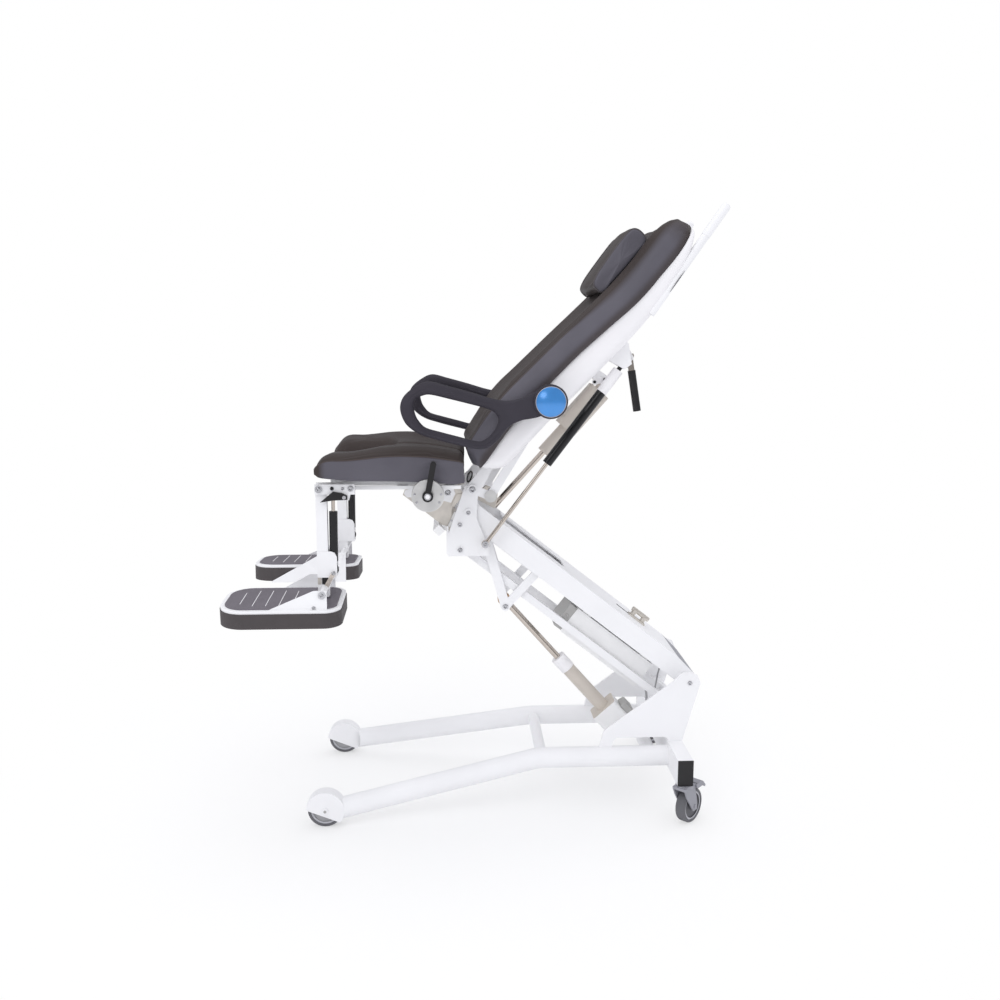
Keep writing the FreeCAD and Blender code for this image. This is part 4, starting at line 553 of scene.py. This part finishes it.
def back_pad():
    """Back pad: at each t a flat rear, round sides and a dished front, as arcs through three points; its ends draw in round."""
    t = np.concatenate([np.linspace(63, 92, 12), np.linspace(98, 900, 88), np.linspace(905, 930, 8),
                        np.linspace(932, 947, 9)]) / 1000
    middle, half, thick, dish = [flow(t, PAD_ROWS[:, 0], PAD_ROWS[:, k]) for k in (1, 2, 3, 4)]
    half, thick = half - 0.002, thick - 0.002
    rear, front = middle - thick / 2, middle + thick / 2
    roll = np.minimum(0.062, half / 3)
    side = middle - 0.1 * thick
    edge = half - 0.014
    pair = lambda y, n: np.stack(np.broadcast_arrays(y, n), -1)
    right = [bow(pair(edge, rear), pair(half - 0.003, rear + 0.18 * thick), pair(half, side), SIDE_STEPS),
             bow(pair(half, side), pair(half - 0.28 * roll, front - 0.16 * thick), pair(half - roll, front), ROLL_STEPS)]
    dip = bow(pair(half - roll, front), pair(0 * t, front - dish), pair(roll - half, front), FACE_STEPS)
    left = [bow(pair(roll - half, front), pair(0.28 * roll - half, front - 0.16 * thick), pair(-half, side), ROLL_STEPS),
            bow(pair(-half, side), pair(0.003 - half, rear + 0.18 * thick), pair(-edge, rear), SIDE_STEPS)]
    share = np.linspace(0, 1, FACE_STEPS, endpoint=False)[None, :, None]
    base = pair(-edge, rear)[:, None] * (1 - share) + pair(edge, rear)[:, None] * share
    section = np.concatenate(right + [dip] + left + [base], 1)
    rings = on_back(t[:, None], section[..., 0], section[..., 1])
    column = np.arange(section.shape[1])
    rim = 2 * (SIDE_STEPS + ROLL_STEPS) + FACE_STEPS
    line, other = SIDE_STEPS + SEAM_STEP, rim - SIDE_STEPS - SEAM_STEP
    held = np.zeros(rings.shape[:2])
    held[:, column >= rim] = 1.0
    held[:, [line, other]] = 0.8
    length = lengths(rings)
    seam = np.minimum(np.abs(length - length[:, [line]]), np.abs(length - length[:, [other]]))
    run = t[:, None] * 1000
    # Painted sheen: the flank colour lies in a soft band along each side outside the seams, fading out towards the top
    # end and the edges.
    inset = np.where((column < line) | (column > other), seam, 0.0)
    soft = 1 + 22 * np.clip((t[:, None] - 0.45) / 0.2, 0, 1)
    edge_fade = np.clip(np.minimum(column, rim - column) / 4 - 0.6, 0.25, 1)
    flank = np.clip(inset / soft, 0, 1) * np.clip((0.955 - t[:, None]) / 0.09, 0, 1) * edge_fade
    # From the middle upwards the seam values grow by 4, so the raised welt and its painted highlight fade out.
    seam = seam + 4 * np.clip((t[:, None] - 0.5) / 0.1, 0, 1)
    cushion("back_cushion", rings, held, seam, run, flank, 0.004, "back_pad", "back")


# Thigh pads in millimetres: x, height of the outer crest, height of the skirt's lower edge.
SEAT_LINES = np.array((
    (-420, 1074, 1010), (-374, 1073, 1005), (-340, 1073, 999), (-296, 1078, 994), (-245, 1085, 989), (-200, 1088, 983),
    (-157, 1087, 977.5), (-110, 1083, 972.5), (-78, 1078, 969.5), (-40, 1070, 970), (-17, 1065, 974),
)) / 1000


def thigh_pad(side):
    """Thigh pad: along X, inner edge follows the notch's circle, outer edge splays forward; each section is a line through
    twelve points, from a low flank over a raised outer crest to a dished middle, evened out along its length."""
    front, rear, notch, radius = -0.42, -0.018, -0.35, 0.135
    nose = 0.0004 + 0.058 * (1 - np.cos(np.linspace(0, np.pi / 2, 20)))
    x = np.concatenate([front + nose, np.linspace(-0.354, -0.226, 20), np.linspace(-0.221, -0.209, 5),
                        np.linspace(-0.203, -0.04, 24), rear - np.array((0.016, 0.011, 0.007, 0.004, 0.002, 0.0005))])
    crest, skirt = [flow(x, SEAT_LINES[:, 0], SEAT_LINES[:, k]) for k in (1, 2)]
    across = np.sqrt(np.maximum(radius ** 2 - np.maximum(x - notch, 0) ** 2, 0))
    inner = -np.where(x > notch + radius, 0.0022, np.maximum(across, 0.0022))
    outer = -(0.25 + 0.085 * np.clip((-0.12 - x) / 0.3, 0, None))
    lead, trail = np.clip((x - front) / 0.056, 0, 1), np.clip((rear - x) / 0.022, 0, 1)
    rise = (1 - (1 - lead) ** 2.4) ** (1 / 2.4)
    fall = (1 - (1 - trail) ** 2.0) ** 0.5
    skirt = skirt + 0.01 * (1 - rise) ** 2 + 0.012 * (1 - fall)
    crest = skirt + 0.008 + (crest - skirt - 0.008) * rise - 0.02 * (1 - fall)
    shy = 0.02 * (1 - rise) ** 1.5 + 0.012 * (1 - fall)
    inner, outer = inner - shy - 0.001, outer + shy + 0.001
    under = np.maximum(1.002 + (0.98 - 1.002) * (x - front) / (rear - front) + 0.001, skirt + 0.0005)
    gap = np.clip(across / 0.11, 0, 1)
    gap = gap * gap * (3 - 2 * gap)
    tall = crest - skirt
    dish = crest - (0.004 + 0.009 * (1 - gap)) * rise
    roll = 0.01 + 0.022 * gap
    flank = lambda share: skirt + share * tall
    places = [(outer + 0.012, under), (outer + 0.002, flank(0.02)), (outer - 0.001, flank(0.35)), (outer + 0.001, flank(0.765)),
              (outer + 0.012, flank(0.92)), (outer + 0.045, crest + 0.0015), ((inner + outer) / 2, dish + 0.002),
              (inner - roll, dish - 0.001), (inner - 0.2 * roll, dish - 0.006 - 0.006 * gap), (inner, flank(0.5)),
              (inner - 0.002, flank(0.16)), (inner - 0.012, under)]
    places = np.stack([np.stack(np.broadcast_arrays(*place), -1) for place in places], 1)
    counts = (3, 7, 8, 5, 8, 12, 10, 6, 6, 5, 4, 20)
    parts = []
    for k, count in enumerate(counts):
        here, there = places[:, [k]], places[:, [(k + 1) % len(counts)]]
        parts.append(here + (there - here) * np.linspace(0, 1, count, endpoint=False)[None, :, None])
    section = np.concatenate(parts, 1)
    top = sum(counts[:-1])
    for _ in range(9):
        section[:, 2:top - 1] = (section[:, 1:top - 2] + 2 * section[:, 2:top - 1] + section[:, 3:top]) / 4
    rings = np.stack([np.broadcast_to(x[:, None], section.shape[:2]), -side * section[..., 0], section[..., 1]], -1)
    line = sum(counts[:3])
    held = np.zeros(rings.shape[:2])
    held[:, top:] = 1.0
    held[:, line] = 0.8
    length = lengths(rings)
    seam = np.abs(length - length[:, [line]])
    run = x[:, None] * 1000
    name = LABEL[side]
    # The outer side panel below the seam takes the flank colour: a real panel, with painted sheen in its lighter, bluer
    # colour; it fades out at the front nose.
    panel_and_sheen = (np.arange(section.shape[1]) < line) * np.clip(lead * 3 - 0.6, 0, 1)[:, None]
    cushion("thigh_cushion_" + name, rings, held, seam, run, panel_and_sheen, 0.003, "thigh_pad_" + name, "seat")


# Side outline of the head pillow in millimetres: t, n.
PILLOW_LINE = np.array((
    (653, 80), (652, 92), (657, 108), (676, 116), (710, 121), (790, 126), (832, 126), (847, 118), (852, 100), (846, 78), (828, 71),
    (760, 70.5), (690, 72.5), (664, 73),
)) / 1000
PILLOW_STEPS, PIPING_Y, PIPING_ROW, UNDERSIDE = 72, 0.141, 5, slice(52, 68)


def round_line(points, count):
    """Closed smooth line through points: cubic pieces with each point's slope from its two neighbours."""
    k = np.linspace(0, len(points), count, endpoint=False)
    i = k.astype(int)
    u = (k - i)[:, None]
    p = [points[(i + d) % len(points)] for d in (-1, 0, 1, 2)]
    a, b = (p[2] - p[0]) / 2, (p[3] - p[1]) / 2
    return p[1] * (1 + 2 * u) * (1 - u) ** 2 + p[2] * u * u * (3 - 2 * u) + a * u * (1 - u) ** 2 - b * u * u * (1 - u)


def head_pillow():
    """Head pillow: its side outline carried across Y, a little fuller in the middle, with domed ends inside a piped seam."""
    outline = round_line(PILLOW_LINE, PILLOW_STEPS)
    centre = np.array((0.752, 0.094))
    size = np.array((0.004, 0.4, 0.72, 0.89, 0.962, 0.985, 1.0, 1.0))
    out = np.array((0.1515, 0.1512, 0.15, 0.1475, 0.1445, PIPING_Y, 0.134, 0.122))
    inner = np.linspace(0.11, -0.11, 24)
    y = np.concatenate([out, inner, -out[::-1]])
    scale = np.concatenate([size, np.ones(24), size[::-1]])
    full = np.clip(1 - (y / 0.15) ** 2, 0, 1)[:, None]
    line = centre + scale[:, None, None] * (outline - centre)
    lift = 0.011 * full * np.clip((line[..., 1] - 0.085) / 0.03, 0, 1)
    sink = 0.01 * full * np.clip((0.7 - line[..., 0]) / 0.048, 0, 1) * np.clip((line[..., 1] - 0.076) / 0.02, 0, 1)
    rings = on_back(line[..., 0] - sink, y[:, None], line[..., 1] + lift)
    held = np.zeros(rings.shape[:2])
    held[:, UNDERSIDE] = 1.0
    held[[PIPING_ROW, -1 - PIPING_ROW]] = 0.9
    seam = (np.abs(np.abs(y) - PIPING_Y) * 1000)[:, None]
    run = np.arange(PILLOW_STEPS) * 7.0
    # The ends outside the piping are real side panels in the flank colour, which paints sheen on them.
    flank = (np.abs(y) > PIPING_Y)[:, None]
    skin = cushion("pillow_cushion", rings, held, seam, run, flank, 0.004, "head_pillow", "back")
    for label, row in (("right", PIPING_ROW), ("left", -1 - PIPING_ROW)):
        pipe("pillow_piping_" + label, skin[row], 0.0021, piping, "back", 8, True, slot="upholstery")


# Rear curve of the moulded shell in millimetres: t, n.
SHELL_REAR = np.array((
    (66, 2), (97, -19), (157, -31), (215, -36), (286, -40), (486, -57), (620, -66), (700, -66), (768, -60), (850, -46), (934, -17),
)) / 1000


def back_shell():
    """Rear shell: at each t a rounded trough from the pad's rear edge down to the rear curve; both ends draw in round."""
    t = np.concatenate([0.0725 + 0.045 * (1 - np.cos(np.linspace(0, np.pi / 2, 12))), np.linspace(0.127, 0.88, 60),
                        0.934 - 0.048 * (1 - np.sin(np.linspace(0.05, np.pi / 2, 10)))])
    middle, thick = [flow(t, PAD_ROWS[:, 0], PAD_ROWS[:, k]) for k in (1, 3)]
    top = middle - thick / 2 + 0.006
    rear = flow(t, SHELL_REAR[:, 0], SHELL_REAR[:, 1])
    inset = np.minimum(np.clip((t - 0.072) / 0.045, 0, 1), np.clip((0.9345 - t) / 0.048, 0, 1))
    draw = np.sqrt(1 - (1 - inset) ** 2)
    depth = np.maximum((top - rear) * (0.25 + 0.75 * draw), 0.004)
    half = 0.222 - 0.02 * (1 - draw)
    angle = np.linspace(0, np.pi, 56)
    y = half[:, None] * np.sign(np.cos(angle)) * np.abs(np.cos(angle)) ** 0.24
    n = top[:, None] - depth[:, None] * np.abs(np.sin(angle)) ** 0.42
    back = np.linspace(-1, 1, 16)[1:-1]
    y = np.concatenate([y, half[:, None] * back], 1)
    n = np.concatenate([n, np.broadcast_to(top[:, None] - 0.001, (len(t), 14))], 1)
    piece = loft("rear_shell", on_back(t[:, None], y, n), shell_white, "back", slot="white_shell")
    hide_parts("back_shell")


back_pad()
thigh_pad(-1)
thigh_pad(1)
head_pillow()
back_shell()

# Fittings: places in the XZ plane, and turned profiles as (height, radius).

HUB, CLAMP, GAS_FOOT, GAS_HEAD = (0.2104, 1.20806), (-0.121, 0.951), (0.039, 0.794), (0.43, 1.31)
# The hub of an armrest: radius of its pale ring, Y of its inner face, of its dome and of the ring.
RIM, HUB_IN, DOME_FACE, RIM_Y = 0.0404, 0.262, 0.3031, 0.3034
DOME_R = np.array((0.0392, 0.037, 0.033, 0.027, 0.021, 0.014, 0.007, 0.0002))
DOME = [(0, 0.0398), (0.0012, 0.0398)] + [(0.002 + math.sqrt(0.062 ** 2 - r * r) - 0.048, r) for r in DOME_R]
HUB_TURN = ((0, 0.042), (0.0008, 0.0446), (0.003, 0.0458), (0.006, 0.046), (0.036, 0.046), (0.0392, 0.0457),
            (0.0407, 0.0447), (0.0412, 0.0432))
HANDLE_DOME = ((-0.001, 0.0124), (0.001, 0.01245), (0.0035, 0.0118), (0.006, 0.0098), (0.0078, 0.0062), (0.0084, 0.0012))
SLEEVE = ((0, 0.0142), (0.0008, 0.0151), (0.038, 0.0153), (0.0762, 0.0151), (0.077, 0.0142))
RELEASE_HEAD = ((0, 0.006), (0.0015, 0.0078), (0.01, 0.008), (0.012, 0.0066), (0.022, 0.0066), (0.024, 0.008),
                (0.0325, 0.0078), (0.034, 0.0056))
CLAMP_RING = ((0, 0.0098), (0.0016, 0.0096), (0.0026, 0.0084), (0.0022, 0.007), (0.0008, 0.0066))
CLAMP_BUTTON = ((0, 0.0064), (0.0016, 0.0062), (0.0026, 0.005), (0.0031, 0.0028), (0.0032, 0.0004))
ROD_COLLAR = ((0, 0.0106), (0.0006, 0.0124), (0.0042, 0.0126), (0.005, 0.0112), (0.0066, 0.0112), (0.0074, 0.0122),
              (0.0098, 0.012), (0.0104, 0.0104))

# Armrest loop in millimetres: x and z of its inner line, x and z of its outer line.
LOOP = np.array((
    (-155, 1200, -191, 1200), (-149, 1215, -179, 1226), (-133, 1224, -149, 1250), (-110, 1227, -115, 1263), (-58, 1215, -65, 1251),
    (-2, 1201, -6, 1235), (39, 1190, 54, 1217), (59, 1180, 92, 1211), (68, 1169, 130, 1217), (70, 1163, 184, 1238),
    (70, 1158, 196, 1205), (70, 1154, 188, 1171), (68, 1148, 136, 1159), (60, 1132, 101, 1141), (45, 1115, 69, 1103),
    (24, 1103, 41, 1083), (1, 1105, 9, 1081), (-36, 1115, -44, 1093), (-85, 1128, -96, 1107), (-124, 1140, -141, 1122),
    (-143, 1159, -173, 1145), (-152, 1178, -188, 1172),
)) / 1000
LOOP_Y, LOOP_HALF, LOOP_EDGE = 0.282, 0.015, 0.017      # middle plane, half thickness, reach of the rounded edges


def at_xz(place, y):
    """Point from its x and z and a y."""
    return np.array((place[0], y, place[1]))


def on_arm(along, above):
    """Point (x, z) of the lift arm from its length along the arm's line and its height above it."""
    line = heading(*ARM)
    return np.array(ARM[0]) + along * line + above * np.array((-line[1], line[0]))


def armrest_loop(side):
    """Armrest: a loop whose section runs from its inner to its outer line, flat where it is wide and round at both edges."""
    label = LABEL[side]
    lines = round_line(LOOP, 176)
    inner, outer = lines[:, :2], lines[:, 2:]
    wide = np.linalg.norm(outer - inner, axis=1)[:, None]
    edge = np.minimum(0.5 * wide, LOOP_EDGE)
    turn = np.linspace(0, np.pi / 2, 8)
    near = edge * (1 - np.cos(turn))
    reach = np.concatenate([near, (wide - near)[:, ::-1], (wide - near)[:, 1:], near[:, ::-1][:, :-1]], 1) / wide
    rise = LOOP_HALF * np.concatenate([np.sin(turn), np.sin(turn)[::-1], -np.sin(turn)[1:], -np.sin(turn)[::-1][:-1]])
    flat = inner[:, None] + reach[..., None] * (outer - inner)[:, None]
    rings = np.stack([flat[..., 0], np.broadcast_to(side * (LOOP_Y + rise), flat.shape[:2]), flat[..., 1]], -1)
    arm = "armrest_" + label        # the body and its node have one name
    loop = make("armrest_loop_" + label, rings, quads(*rings.shape[:2], True).tolist(), arm_foam, arm, slot="armrest_grey")
    hub = turned("armrest_hub_" + label, at_xz(HUB, side * HUB_IN), (0, side, 0), HUB_TURN, arm_foam, arm, 72, slot="armrest_grey")
    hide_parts(arm)
    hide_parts(arm)
    dome = turned("armrest_dome_" + label, at_xz(HUB, side * DOME_FACE), (0, side, 0), DOME, cap_blue, arm, 64, slot="blue_cap")
    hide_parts("armrest_cap_" + label)
    angle = np.linspace(0, 2 * np.pi, 72, endpoint=False)
    rim = np.stack([HUB[0] + RIM * np.cos(angle), np.full(72, side * RIM_Y), HUB[1] + RIM * np.sin(angle)], -1)
    pipe("armrest_ring_" + label, rim, 0.0008, rim_pale, arm, 8, True, slot="armrest_grey")


# Tread stripes: x, inner end, outer end; and the section of a stripe.
STRIPES = ((-0.6315, 0.205, 0.301), (-0.5955, 0.186, 0.319), (-0.56, 0.186, 0.319), (-0.5245, 0.186, 0.319), (-0.489, 0.19, 0.318))
STRIPE = np.array(((-0.001, -0.0004), (0.001, -0.0004), (0.0008, 0.0006), (-0.0008, 0.0006)))


def stripes(side):
    """Pale stripes laid across a tread: flat bars square to the footplate's length, on its tilted top."""
    bars = []
    for x, inner, outer in STRIPES:
        y = np.linspace(inner, outer, 5)
        top = TREAD_TOP + TREAD_SLOPE * (TREAD_Y - y)
        grid = np.broadcast_arrays(x + STRIPE[:, 0], side * y[:, None], top[:, None] + STRIPE[:, 1])
        bars.append(np.stack(grid, -1)[:, ::side])
    cluster("tread_stripes_" + LABEL[side], bars, shell_white, "footrest_" + LABEL[side], slot="white_shell", smooth=False)


def push_handle(side):
    """Domed end of a push handle, and a thin dark pipe beside its lower half that paints the shadow in the gap between
    handle and shell.
    """
    label = LABEL[side]
    foot, end = on_back(0.69, side * 0.205, -0.058), on_back(1.036, side * 0.205, -0.027)
    t = np.linspace(0.766, 0.836, 12)
    # Painted shadow: a dark pipe along the gap where the handle leaves the shell.
    gap_shadow = on_back(t, side * 0.2168, -0.0585 + 0.09 * (t - 0.766))
    pipe("handle_gap_shadow_" + label, gap_shadow, 0.0011 * np.sin(np.linspace(0.3, 2.84, 12)), plastic, "back", 8, slot="black_plastic")
    turned("handle_end_" + label, end, end - foot, HANDLE_DOME, coat, "back", 32, slot="white_coat")


def cable(name, route, y, diameter):
    """Cable that runs in curves between arm and base: a tube along the route's own NURBS line."""
    line = bpy.data.curves.new(name, "CURVE")
    line.dimensions = "3D"
    spline = line.splines.new("NURBS")
    spline.points.add(len(route) - 1)
    for point, (x, z) in zip(spline.points, route):
        point.co = (x, y, z, 1)
    spline.order_u, spline.use_endpoint_u, spline.resolution_u = 3, True, 14
    guide = put(name + "_line", line)
    bpy.context.view_layer.update()
    drawn = bpy.data.meshes.new_from_object(guide.evaluated_get(bpy.context.evaluated_depsgraph_get()))
    path = np.zeros(len(drawn.vertices) * 3)
    drawn.vertices.foreach_get("co", path)
    path = path.reshape(-1, 3)
    bpy.data.objects.remove(guide)
    bpy.data.meshes.remove(drawn)
    piece = pipe(name, path, diameter / 2, cable_grey, None, 14, slot="motor_grey")
    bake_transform(piece)
    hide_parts("control_cables")


cable("box_cable", ((0.51142, 0.34257), (0.53796, 0.3218), (0.54, 0.255), (0.533, 0.1717)), -0.04, 0.007)
cable("arm_cable", ((0.58524, 0.3822), (0.57679, 0.37141), (0.568, 0.306), (0.548, 0.24), (0.54, 0.1697)), -0.028, 0.005)

# Y of the faces that small pieces sit on, and both faces of the pieces on the posts.
POST_FACES, CLAMP_FACE, BRACKET_FACE, LUG_FACE, PLATE_FACE = (0.2615, 0.2636), -0.261, -0.1262, -0.066, -0.1418

# Screws on both sides: name, finish, body and, for each head, x, y on the right, z, radius and height.
PAIRED_SCREWS = (
    ("front_axle_screw", motor_dark, "base", ((-0.422, 0.2835, 0.05, 0.0042, 0.0016),)),
    ("side_plate_screw", bolt_steel, "base", ((0.64, 0.173, 0.374, 0.0068, 0.003),)),
    ("carrier_screws", bolt_steel, "carrier",
     ((0.003, 0.145, 0.95, 0.0095, 0.004), (-0.009, 0.138, 0.882, 0.0066, 0.003),
      (-0.033, 0.137, 0.847, 0.0068, 0.0022), (-0.033, 0.137, 0.773, 0.0074, 0.003))),
    ("rail_screws", bolt_steel, "seat",
     ((-0.415, 0.275, 0.973, 0.0062, 0.0026), (-0.3503, 0.271, 0.974, 0.0046, 0.002), (-0.3287, 0.271, 0.974, 0.0082, 0.0034))),
    ("ball_cap", plastic, "seat", ((-0.379, 0.2714, 0.975, 0.005, 0.0034),)),
    ("footplate_screws", bolt_steel, "footrest_{}",
     ((-0.427, 0.345, 0.662, 0.0055, 0.0024), (-0.381, 0.271, 0.74, 0.006, 0.0026), (-0.405, 0.349, 0.697, 0.0058, 0.0022))),
)
# Screws on one side or at one place.
LONE_SCREWS = (
    ("gas_spring_bolts", plastic, "back", ((0.3493, PLATE_FACE, 1.2545, 0.0042, 0.003), (0.3777, PLATE_FACE, 1.2617, 0.0042, 0.003))),
    ("gas_foot_screw", bolt_steel, "carrier", ((0.039, -0.1675, 0.794, 0.0062, 0.003),)),
    ("clamp_screws", bolt_steel, "seat",
     [(x, CLAMP_FACE, z, 0.0036, 0.0014) for x, z in ((-0.1574, 0.9554), (-0.1516, 0.9331), (-0.0846, 0.9554), (-0.09, 0.9331))]),
    ("seat_boss", bolt_steel, "seat", ((-0.0661, -0.236, 0.9554, 0.009, 0.004),)),
    ("hinge_lug_screws", plastic, "carrier",
     [(x, LUG_FACE, z, 0.0046, 0.0024) for x, z in ((0.0365, 0.9206), (0.0492, 0.9128), (0.0618, 0.905))]),
    ("hinge_lug_washer", bolt_steel, "carrier", ((0.0593, LUG_FACE, 0.9332, 0.011, 0.002),)),
    ("bar_clip_screw", bolt_steel, "carrier", ((-0.0574, -0.131, 0.8588, 0.0034, 0.0014),)),
    ("lift_pin_screws", bolt_steel, "lift", [(*at_xz(LIFT[0], y), 0.008, 0.003) for y in (-0.094, 0.094)]),
    ("box_cap_screw", motor_dark, "lift", ((*at_xz(on_arm(0.437, -0.076), -0.058), 0.0052, 0.002),)),
)
# Flat pieces: name, finish, slot, body, bevel, the two Y faces, and the outline in x and z.
BOARDS = (
    ("gas_spring_plate", shell_white, "white_shell", "back", 0.0008, PLATE_FACE, -0.1386,
     ((0.3415, 1.256), (0.344, 1.2475), (0.352, 1.2465), (0.385, 1.2555), (0.386, 1.266), (0.379, 1.269), (0.346, 1.2625))),
    ("hinge_lug", zinc, "clamp_metal", "carrier", 0.0015, LUG_FACE, -0.048,
     ((0.0164, 0.9281), (0.0442, 0.9499), (0.0797, 0.9353), (0.0771, 0.9046), (0.0695, 0.8815), (0.0163, 0.9102))),
    ("tilt_stop", zinc, "clamp_metal", "carrier", 0.0008, -0.129, BRACKET_FACE,
     ((-0.042, 0.9351), (-0.0183, 0.9374), (-0.0487, 0.8986), (-0.0596, 0.8987))),
    ("tilt_cheek_front", coat, "white_coat", "carrier", 0.0008, -0.1284, BRACKET_FACE,
     ((-0.1925, 0.937), (-0.189, 0.947), (-0.15, 0.956), (-0.15, 0.9265), (-0.184, 0.9265))),
    ("tilt_cheek_rear", coat, "white_coat", "carrier", 0.0008, -0.1284, BRACKET_FACE,
     ((-0.096, 0.95), (-0.05, 0.95), (-0.0455, 0.937), (-0.058, 0.91), (-0.096, 0.92))),
    ("bar_clip", clamp_metal, "clamp_metal", "carrier", 0.0008, -0.131, BRACKET_FACE,
     ((-0.0488, 0.886), (-0.0399, 0.8809), (-0.0601, 0.8398), (-0.0685, 0.8434))),
    ("lift_motor_can", motor_dark, "motor_grey", "lift_motor", 0.004, -0.03, 0.03,
     ((0.46, 0.2515), (0.4788, 0.263), (0.5033, 0.2376), (0.4821, 0.2215))),
    # Painted shade: a thin black plate on the arm's top stands for the shade inside a recess.
    ("arm_slot_shade", plastic, "black_plastic", "lift", 0.0003, 0.004, 0.016,
     [on_arm(*place) for place in ((0.555, 0.0336), (0.609, 0.0336), (0.609, 0.0346), (0.555, 0.0346))]),
    ("box_latch", shell_white, "white_shell", "lift", 0.0008, -0.0616, -0.0598,
     [on_arm(*place) for place in ((0.5966, -0.1265), (0.6036, -0.1265), (0.6036, -0.0866), (0.5966, -0.0866))]),
)
POST_FOOT = ((-0.4252, 0.707), (-0.415, 0.707), (-0.415, 0.727), (-0.4252, 0.727))
POST_GAP = ((-0.4135, 0.707), (-0.396, 0.707), (-0.396, 0.727), (-0.4135, 0.727))

for side, label in LABEL.items():
    stripes(side)
    armrest_loop(side)
    push_handle(side)
    for name, material, body, places in PAIRED_SCREWS:
        screws(name + "_" + label, material, body.format(label), [(x, side * y, *rest) for x, y, *rest in places])
    near, far = sorted(side * face for face in POST_FACES)
    board("post_foot_" + label, zinc, "clamp_metal", "footrest_" + label, 0.0008, near, far, POST_FOOT)
    board("post_gap_" + label, plastic, "black_plastic", "footrest_" + label, 0.0008, near, far, POST_GAP)
for piece in LONE_SCREWS:
    screws(*piece)
for piece in BOARDS:
    board(*piece)

gas, lift = at_xz(heading(GAS_FOOT, GAS_HEAD), 0.0), at_xz(heading(*LIFT), 0.0)
turned("gas_spring_sleeve", at_xz(GAS_FOOT, -0.156) + 0.5423 * gas, gas, SLEEVE, shell_white, "gas_cylinder", 40, slot="white_shell")
turned("release_head", (0.425, -0.138, 1.3279), (1, 0, -0.06), RELEASE_HEAD, steel, "back", 32, slot="bright_steel")
turned("clamp_ring", at_xz(CLAMP, -0.2774), (0, -1, 0), CLAMP_RING, bolt_steel, "clamp", 40, slot="bright_steel")
turned("clamp_button", at_xz(CLAMP, -0.279), (0, -1, 0), CLAMP_BUTTON, shell_white, "clamp", 32, slot="white_shell")
turned("lift_rod_collar", at_xz(LIFT[0], 0.0) + 0.0225 * lift, lift, ROD_COLLAR, bolt_steel, "lift_rod", 40, slot="bright_steel")
turn = np.linspace(0, 2 * np.pi, 40, endpoint=False)
loop = np.stack([-0.0045 + 0.0058 * np.cos(turn) + 0.004 * np.sin(turn), np.full(40, -0.13), 0.9855 + 0.015 * np.sin(turn)], -1)
pipe("joint_loop", loop, 0.0021, plastic, "carrier", 10, True, slot="black_plastic")

# Studio: pale floor, white surround for the eye and for reflections, soft lamps at a plain level.
FILL, GLOSS_FILL = 1.0, 0.36        # strength of the surround for diffuse and for glossy light
LAMPS = (("key", (-2.4, -3.4, 3.6), 2.6, 36.0), ("over", (0.2, 0.3, 4.2), 3.2, 15.0), ("side", (3.2, 1.4, 2.6), 2.2, 10.0))
AIM = Vector((0, 0, 0.8))
FLOOR_REACH = 9


def either(tree, value, first, second, end):
    """Shows one shader or another by a value."""
    mix = tree.nodes.new("ShaderNodeMixShader")
    for socket, source in zip(mix.inputs, (value, first, second)):
        tree.links.new(source, socket)
    tree.links.new(mix.outputs[0], tree.nodes[end].inputs["Surface"])


def floor_paper():
    """Pale paper that shows the shadow near the chair and, further out, fades for the eye to plain white."""
    paper = finish("floor_paper", (0.93, 0.93, 0.93), 0.9, 0.004, 2.0, 60.0, 0.0001)
    tree = paper.node_tree
    where = tree.nodes.new("ShaderNodeTexCoord").outputs["Object"]
    reach = tree.nodes.new("ShaderNodeVectorMath")
    reach.operation = "LENGTH"
    tree.links.new(where, reach.inputs[0])
    far = spread(tree, reach.outputs["Value"], 0.45, 1.0, 0.45, 1.5)
    rays = tree.nodes.new("ShaderNodeLightPath")
    faded = maths(tree, "MULTIPLY", far, rays.outputs["Is Camera Ray"])
    white = tree.nodes.new("ShaderNodeEmission")
    either(tree, faded, tree.nodes["Principled BSDF"].outputs[0], white.outputs[0], "Material Output")
    return paper


def studio():
    """Floor, surround and lamps: the eye sees plain white, and the chair is lit by an even surround and three soft lamps."""
    floor = bpy.data.meshes.new("floor")
    corners = np.array(((-1, -1, 0), (1, -1, 0), (1, 1, 0), (-1, 1, 0)), float) * FLOOR_REACH
    floor.from_pydata(corners.tolist(), [], [(0, 1, 2, 3)])
    ground = put("floor", floor)
    floor.materials.append(floor_paper())
    world = bpy.data.worlds.new("surround")
    scene.world = world
    world.use_nodes = True
    tree = world.node_tree
    seen = tree.nodes["Background"]
    seen.inputs["Color"].default_value = (1, 1, 1, 1)
    fill = tree.nodes.new("ShaderNodeBackground")
    fill.inputs["Color"].default_value = (0.95, 0.955, 1.0, 1)
    rays = tree.nodes.new("ShaderNodeLightPath")
    strength = maths(tree, "MULTIPLY_ADD", rays.outputs["Is Glossy Ray"], GLOSS_FILL - FILL, FILL)
    tree.links.new(strength, fill.inputs["Strength"])
    either(tree, rays.outputs["Is Camera Ray"], fill.outputs[0], seen.outputs[0], "World Output")
    for name, place, size, power in LAMPS:
        lamp = bpy.data.lights.new(name, "AREA")
        lamp.shape, lamp.size, lamp.energy = "DISK", size, power
        stand = put(name, lamp)
        stand.location = place
        stand.rotation_euler = (AIM - Vector(place)).to_track_quat("-Z", "Y").to_euler()


studio()
lens = bpy.data.cameras.new("camera")
lens.sensor_width, lens.lens = 36.0, 35.744
camera = put("camera", lens)
camera.location = (-0.05287, -2.94349, 1.3687)
YAW, PITCH = 0.04807, 0.15889
ahead = Vector((math.sin(YAW) * math.cos(PITCH), math.cos(YAW) * math.cos(PITCH), -math.sin(PITCH)))
camera.rotation_euler = ahead.to_track_quat("-Z", "Y").to_euler()
scene.camera = camera
scene.view_settings.view_transform = "Standard"

bpy.context.view_layer.update()
